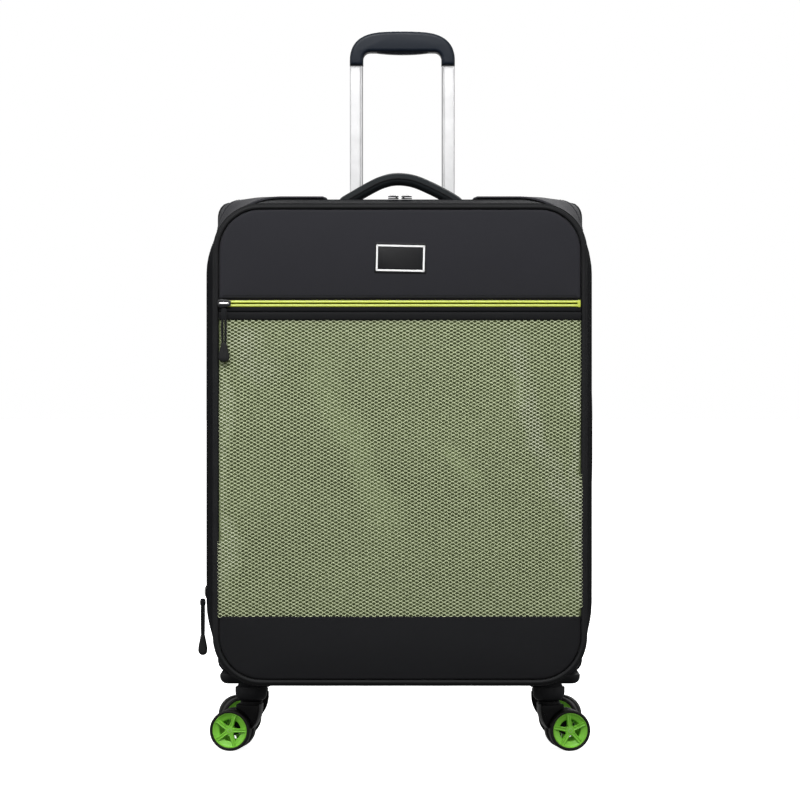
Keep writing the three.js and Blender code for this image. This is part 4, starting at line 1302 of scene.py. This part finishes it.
def build_sliders():
    low, high = node_box("pocket_slider")
    centre = (low + high) / 2
    place = basis((-1, 0, 0), (0, -1, 0), (centre[0], FRONT_Y - 0.3, centre[2]))
    slider("pocket_slider", (16, 10.4, 5.2), place, "pocket_slider", "pocket_slider")
    low, high = node_box("expander_slider")
    place = basis((0, 0, 1), (-1, 0, 0), (high[0], SPLIT_Y, (low[2] + high[2]) / 2))
    slider("expander_slider", (14.8, 9.8, 5.2), place, "expander_slider", "expander_slider")

    for name, strap_length, cord_end, width, gap in (("pocket", 13.5, 496.5, 13.1, 2.1),
                                                     ("expander", 8.5, 140.2, 11.5, 1.35)):
        low, high = node_box(f"{name}_puller")
        x, y = (low[0] + high[0]) / 2, (low[1] + high[1]) / 2
        soft, end = puller_shells(x, y, high[2], strap_length, cord_end, low[2] + 0.1, width, 5.1, gap)
        body = f"{name}_puller"
        piece(f"{name}_puller_cord", soft, "black_webbing", body)
        piece(f"{name}_puller_end", [end], "puller_rubber", body, [body])

    for side, sign in (("left", -1), ("right", 1)):
        body = f"main_slider_{side}"
        low, high = node_box(body)
        x = (low[0] + high[0]) / 2
        slider(body, (12.8, 8.8, 5.2), basis((-sign, 0, 0), (0, 0, 1), (x, ZIP_Y - 0.4, low[2])), body, body)
        tab = rounded_rectangle(8.8, 17, 3.4, 6, x, high[1] - 8.6)
        inner = rounded_rectangle(4.2, 8, 2, 6, x, high[1] - 6.6)
        plate = piece(f"{body}_tab", [extrusion(tab, high[2] - 1.9, high[2] - 0.1, 0.5, 3)], "slider_metal")
        cut(plate, cutter(extrusion(inner, high[2] - 5, high[2] + 5)))
        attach(plate, body)


# ---- Base and casters -------------------------------------------------------------------------------
def housing_shells(x, y, block):
    """The moulded block under a corner with the bowl that takes the fork's stem."""
    bowl = lathe([(6.6, 76), (6.6, 61.4), (7.4, 60.6), (11.4, 60.6), (13.8, 61.0), (15.9, 62.2), (17.6, 64.0),
                  (18.8, 66.4), (19.4, 69), (19.6, 72), (19.6, 77.3)], 56)
    return [block, moved(bowl, Matrix.Translation((x, y, 0)))]


def screw(x, y, z):
    """A countersunk cross-head screw seen from below."""
    head = lathe([(0, 0), (2.9, 0.1), (3.3, 0.5), (3.3, 1.2), (0, 1.2)], 20)
    bars = [extrusion(rounded_rectangle(w, d, 0.3, 2), -0.25, 0.2, 0.1, 1) for w,
            d in ((3.6, 0.9), (0.9, 3.6))]
    shift = Matrix.Translation((x, y, z))
    return [moved(s, shift) for s in (head, *bars)]


def build_base():
    high = 77.3
    plate = extrusion(rounded_rectangle(290, 124, 12, 8, 0, 66), 74, high, 1, 3)
    ribs = [extrusion(rounded_rectangle(2.4, 112, 1, 3, x, 66), 71.2, 75, 0.6, 2) for x in np.linspace(-125,
                                                                                                       125,
                                                                                                       11)]
    ribs += [extrusion(rounded_rectangle(270, 2.4, 1, 3, 0, y), 71.2, 75, 0.6, 2) for y in (20, 66, 112)]
    piece("base_tray", [plate, *ribs], "black_plastic", "case", ["base_plate"])
    screws = []
    for side, sign in (("left", -1), ("right", 1)):
        x = sign * 182
        block = extrusion(rounded_rectangle(36, 60, 8, 8, x, -42), 70, high, 3, 5, fillet_high=0.4)
        piece(f"front_housing_{side}_moulding", housing_shells(x, -68, block), "black_plastic", "case",
              [f"front_housing_{side}"], weld=True)
        block = extrusion(rounded_rectangle(76, 78, 13, 10, sign * 191, 102), 67.5, 80.5, 9, 8, fillet_high=2)
        piece(f"rear_housing_{side}_moulding", housing_shells(x, 98, block), "black_plastic", "case",
              [f"rear_housing_{side}"], weld=True)
        for at in ((x - 12, -20, 69.8), (x + 12, -20, 69.8), (x - 18, 124, 67.3), (x + 28, 124, 67.3)):
            screws += screw(*at)
    for at in ((-135, 14), (135, 14), (-135, 118), (135, 118)):
        screws += screw(*at, 73.8)
    piece("base_screws", screws, "axle_steel", "case", weld=True)


def fork_shells():
    stem = lathe([(0, 55), (6, 55), (6, 73), (5, 74), (0, 74)], 28)
    race = lathe([(0, 55.4), (12.6, 55.4), (13.4, 56.2), (13.4, 59.6), (12.8, 60.2), (0, 60.2)], 48)
    hood = np.concatenate([
        [(16, 56.5), (-12.4, 56.5), (-12.4, 50)],
        bezier((-12.4, 50), (-11.8, 40.7), (-8.7, 33), (-3.2, 27), 8)[1:],
        arc(TRAIL, WHEEL_R, 26.2, 176, 104, 14),
    ])
    rib = np.concatenate([
        [(15, 56), (-8, 56)],
        bezier((-8, 56), (-6.7, 41.3), (1.7, 29), (17, 19), 8)[1:],
        arc(TRAIL, WHEEL_R, 7.5, 225, 405, 14),
    ])
    cheek = extrusion(hood, -15, 15, 2.2, 4, False)
    web = extrusion(rib, -3.9, 3.9, 1.0, 3, False)
    boss = moved(lathe([(2.9, -4.1), (6.2, -4.1), (6.2, 4.1), (2.9, 4.1)], 32),
                 Matrix.Translation((TRAIL, 0, WHEEL_R)) @ Matrix.Rotation(math.radians(90), 4, "X"))
    return [stem, race, cheek, web, boss]


def tyre_shell():
    half, r = WHEEL_HALF, WHEEL_R
    profile = [(HUB_R + 0.15, half - 0.9), (HUB_R + 0.5, half - 0.25), (r - 2.6, half),
               *arc(r - 2.6, half - 2.6, 2.6, 90, 0, 6)[1:]]
    profile += [(r, 0.5), (r - 0.12, 0)]
    mirrored = [(a, -b) for a, b in profile[-2::-1]]
    return lathe(profile + mirrored, 80)


def hub_shells():
    """A five-spoke hub about z, its face towards +z: bowl-shaped rim, ridged spokes and a closed boss."""
    rim = [(21.35, -7.0), (21.35, 6.6), (21.0, 7.0), (20.3, 7.05), (19.9, 6.7), (19.4, 5.9), (17.6, 5.0),
           (15.6, 4.3),
           (14.2, 3.8), (13.4, 3.1), (13.1, 2.0), (13.3, -0.2), (14.4, -1.2), (17.0, -2.2), (18.6, -4.4),
           (19.2, -7.0)]
    boss = [(2.9, -7.0), (5.2, -7.0), (5.5, -1.0), (5.9, 3.5), (6.3, 5.2), (5.8, 6.2), (4.4, 6.6), (0, 6.7),
            (0, 5.9),
            (2.9, 5.9)]
    shells = [lathe(rim, 80), lathe(boss, 40)]
    ridge = [(-2.75, 1.8), (-2.75, 5.4), (-2.3, 6.5), (-1.7, 6.95), (-1.15, 6.75), (-0.6, 6.15), (0.6, 6.15),
             (1.15, 6.75), (1.7, 6.95), (2.3, 6.5), (2.75, 5.4), (2.75, 1.8)]
    for k in range(5):
        rings = []
        for r, width, lift in ((3.4, 1.1, -0.3), (6.5, 1.0, 0), (11, 0.92, 0), (16, 0.95, 0),
                               (19.4, 1.0, -0.1),
                               (20.5, 1.0, -0.5)):
            rings.append([(r, u * width, min(v + lift, 6.95)) for u, v in ridge])
        turn = Matrix.Rotation(math.radians(72 * k), 4, "Z")
        shells.append(moved(tube_of(rings), turn))
    return shells


def build_casters():
    fork, tyre, hub = fork_shells(), tyre_shell(), hub_shells()
    pin = lathe([(0, -19.4), (2.5, -19.4), (2.5, 19.4), (0, 19.4)], 24)
    spoke_phase = {"front_left": 36, "front_right": 24, "rear_left": 40, "rear_right": 10}
    for row, y, yaw in (("front", -68, 9), ("rear", 98, -12)):
        for side, sign in (("left", -1), ("right", 1)):
            label = f"{row}_{side}"
            turn = math.radians((0 if sign > 0 else 180) + sign * yaw)
            swivel = Matrix.Translation((sign * 182, y, 0)) @ Matrix.Rotation(turn, 4, "Z")
            piece(f"fork_moulding_{label}", [moved(s, swivel) for s in fork], "fork_black",
                  f"caster_{label}", [f"fork_{label}"], weld=True)
            across = Matrix.Rotation(math.radians(90), 4, "X")
            axle = swivel @ Matrix.Translation((TRAIL, 0, WHEEL_R)) @ across
            piece(f"axle_pin_{label}", [moved(pin, axle)], "axle_steel", f"caster_{label}",
                  [f"axle_{label}"], weld=True)
            for wheel, way in (("a", -1), ("b", 1)):
                face = Matrix.Rotation(math.radians(-90 * way), 4, "X")
                phase = Matrix.Rotation(math.radians(spoke_phase[label]), 4, "Z")
                at = swivel @ Matrix.Translation((TRAIL, way * WHEEL_OFFSET, WHEEL_R)) @ face
                body = f"wheel_{label}_{wheel}"
                piece(f"tyre_ring_{label}_{wheel}", [moved(tyre, at)], "tyre_black", body,
                      [f"tyre_{label}_{wheel}"])
                piece(f"hub_star_{label}_{wheel}", [moved(s, at @ phase) for s in hub], "hub_green", body,
                      [f"hub_{label}_{wheel}"], weld=True)


# ---- Camera, light and floor ------------------------------------------------------------------------
def build_stage():
    camera = bpy.data.objects.new("camera", bpy.data.cameras.new("camera"))
    camera.data.lens, camera.data.sensor_width = 135, 36
    camera.location = (0, -3.740, 0.428)
    camera.rotation_euler = (math.radians(90), 0, 0)
    bpy.context.scene.collection.objects.link(camera)
    bpy.context.scene.camera = camera
    bpy.context.scene.view_settings.view_transform = "Standard"

    a = np.arange(64) / 64 * 2 * math.pi
    ring = np.stack([60000 * np.cos(a), 60000 * np.sin(a), np.zeros(64)], 1)
    s = Shader("pale_floor", (0.85, 0.85, 0.85), 0.7, Specular_IOR_Level=0.1, Emission_Strength=0.9)
    s.surface.inputs["Emission Color"].default_value = (1, 1, 1, 1)
    s.color(s.mix(s.spread(s.noise(400, 2), 0, 1), (0.84, 0.84, 0.84), (0.86, 0.86, 0.86)))
    MATERIALS["pale_floor"] = s.material
    floor = piece("floor", [(ring, [list(range(64))])], "pale_floor", keep_normals=True)
    floor.visible_diffuse = floor.visible_glossy = False

    # A studio that is bright behind the case, softly grey around it and dim below.
    world = bpy.data.worlds.new("studio")
    world.use_nodes = True
    tree = world.node_tree
    direction = tree.nodes.new("ShaderNodeSeparateXYZ")
    tree.links.new(tree.nodes.new("ShaderNodeTexCoord").outputs["Generated"], direction.inputs[0])

    def ramp(axis, start, stop, low, high):
        made = tree.nodes.new("ShaderNodeMapRange")
        tree.links.new(direction.outputs[axis], made.inputs["Value"])
        for socket, value in zip(("From Min", "From Max", "To Min", "To Max"), (start, stop, low, high)):
            made.inputs[socket].default_value = value
        return made.outputs["Result"]

    brightest = tree.nodes.new("ShaderNodeMath")
    brightest.operation = "MAXIMUM"
    tree.links.new(ramp("Y", 0.9, 0.97, 0, 1), brightest.inputs[0])
    tree.links.new(ramp("Z", -0.12, 0.1, 0.14, 0.46), brightest.inputs[1])
    tree.links.new(brightest.outputs[0], tree.nodes["Background"].inputs["Strength"])
    tree.nodes["Background"].inputs["Color"].default_value = (1, 1, 1, 1)
    bpy.context.scene.world = world
    lamps = (
        ("key_softbox", (-0.3, -1.7, 2.2), (1.8, 1.0), 62),
        ("fill_softbox", (0.2, -5.2, 1.1), (3.6, 2.2), 24),
        ("left_softbox", (-2.6, -1.0, 1.0), (0.9, 1.8), 11),
        ("right_softbox", (2.6, -1.0, 1.0), (0.9, 1.8), 12),
        ("back_softbox", (0.4, 2.4, 2.2), (2.0, 1.4), 64),
    )
    for name, place, (wide, tall), power in lamps:
        lamp = bpy.data.lights.new(name, "AREA")
        lamp.shape, lamp.size, lamp.size_y, lamp.energy = "RECTANGLE", wide, tall, power
        made = bpy.data.objects.new(name, lamp)
        made.location = place
        made.visible_camera = False
        aim = Vector((0, 0, 0.45)) - made.location
        made.rotation_euler = aim.to_track_quat("-Z", "Y").to_euler()
        bpy.context.scene.collection.objects.link(made)


build_stage()
build_panels()
build_mesh_panel()
build_pocket_zipper()
build_piping()
build_lid_shell()
build_badge()
build_front_band()
build_ring_zippers()
build_body_skin()
build_body_lining()
build_expansion_gusset()
build_back()
build_channel()
build_trolley_tubes()
build_cup()
build_grip()
build_carry_handle()
build_side_handle()
build_sliders()
build_base()
build_casters()
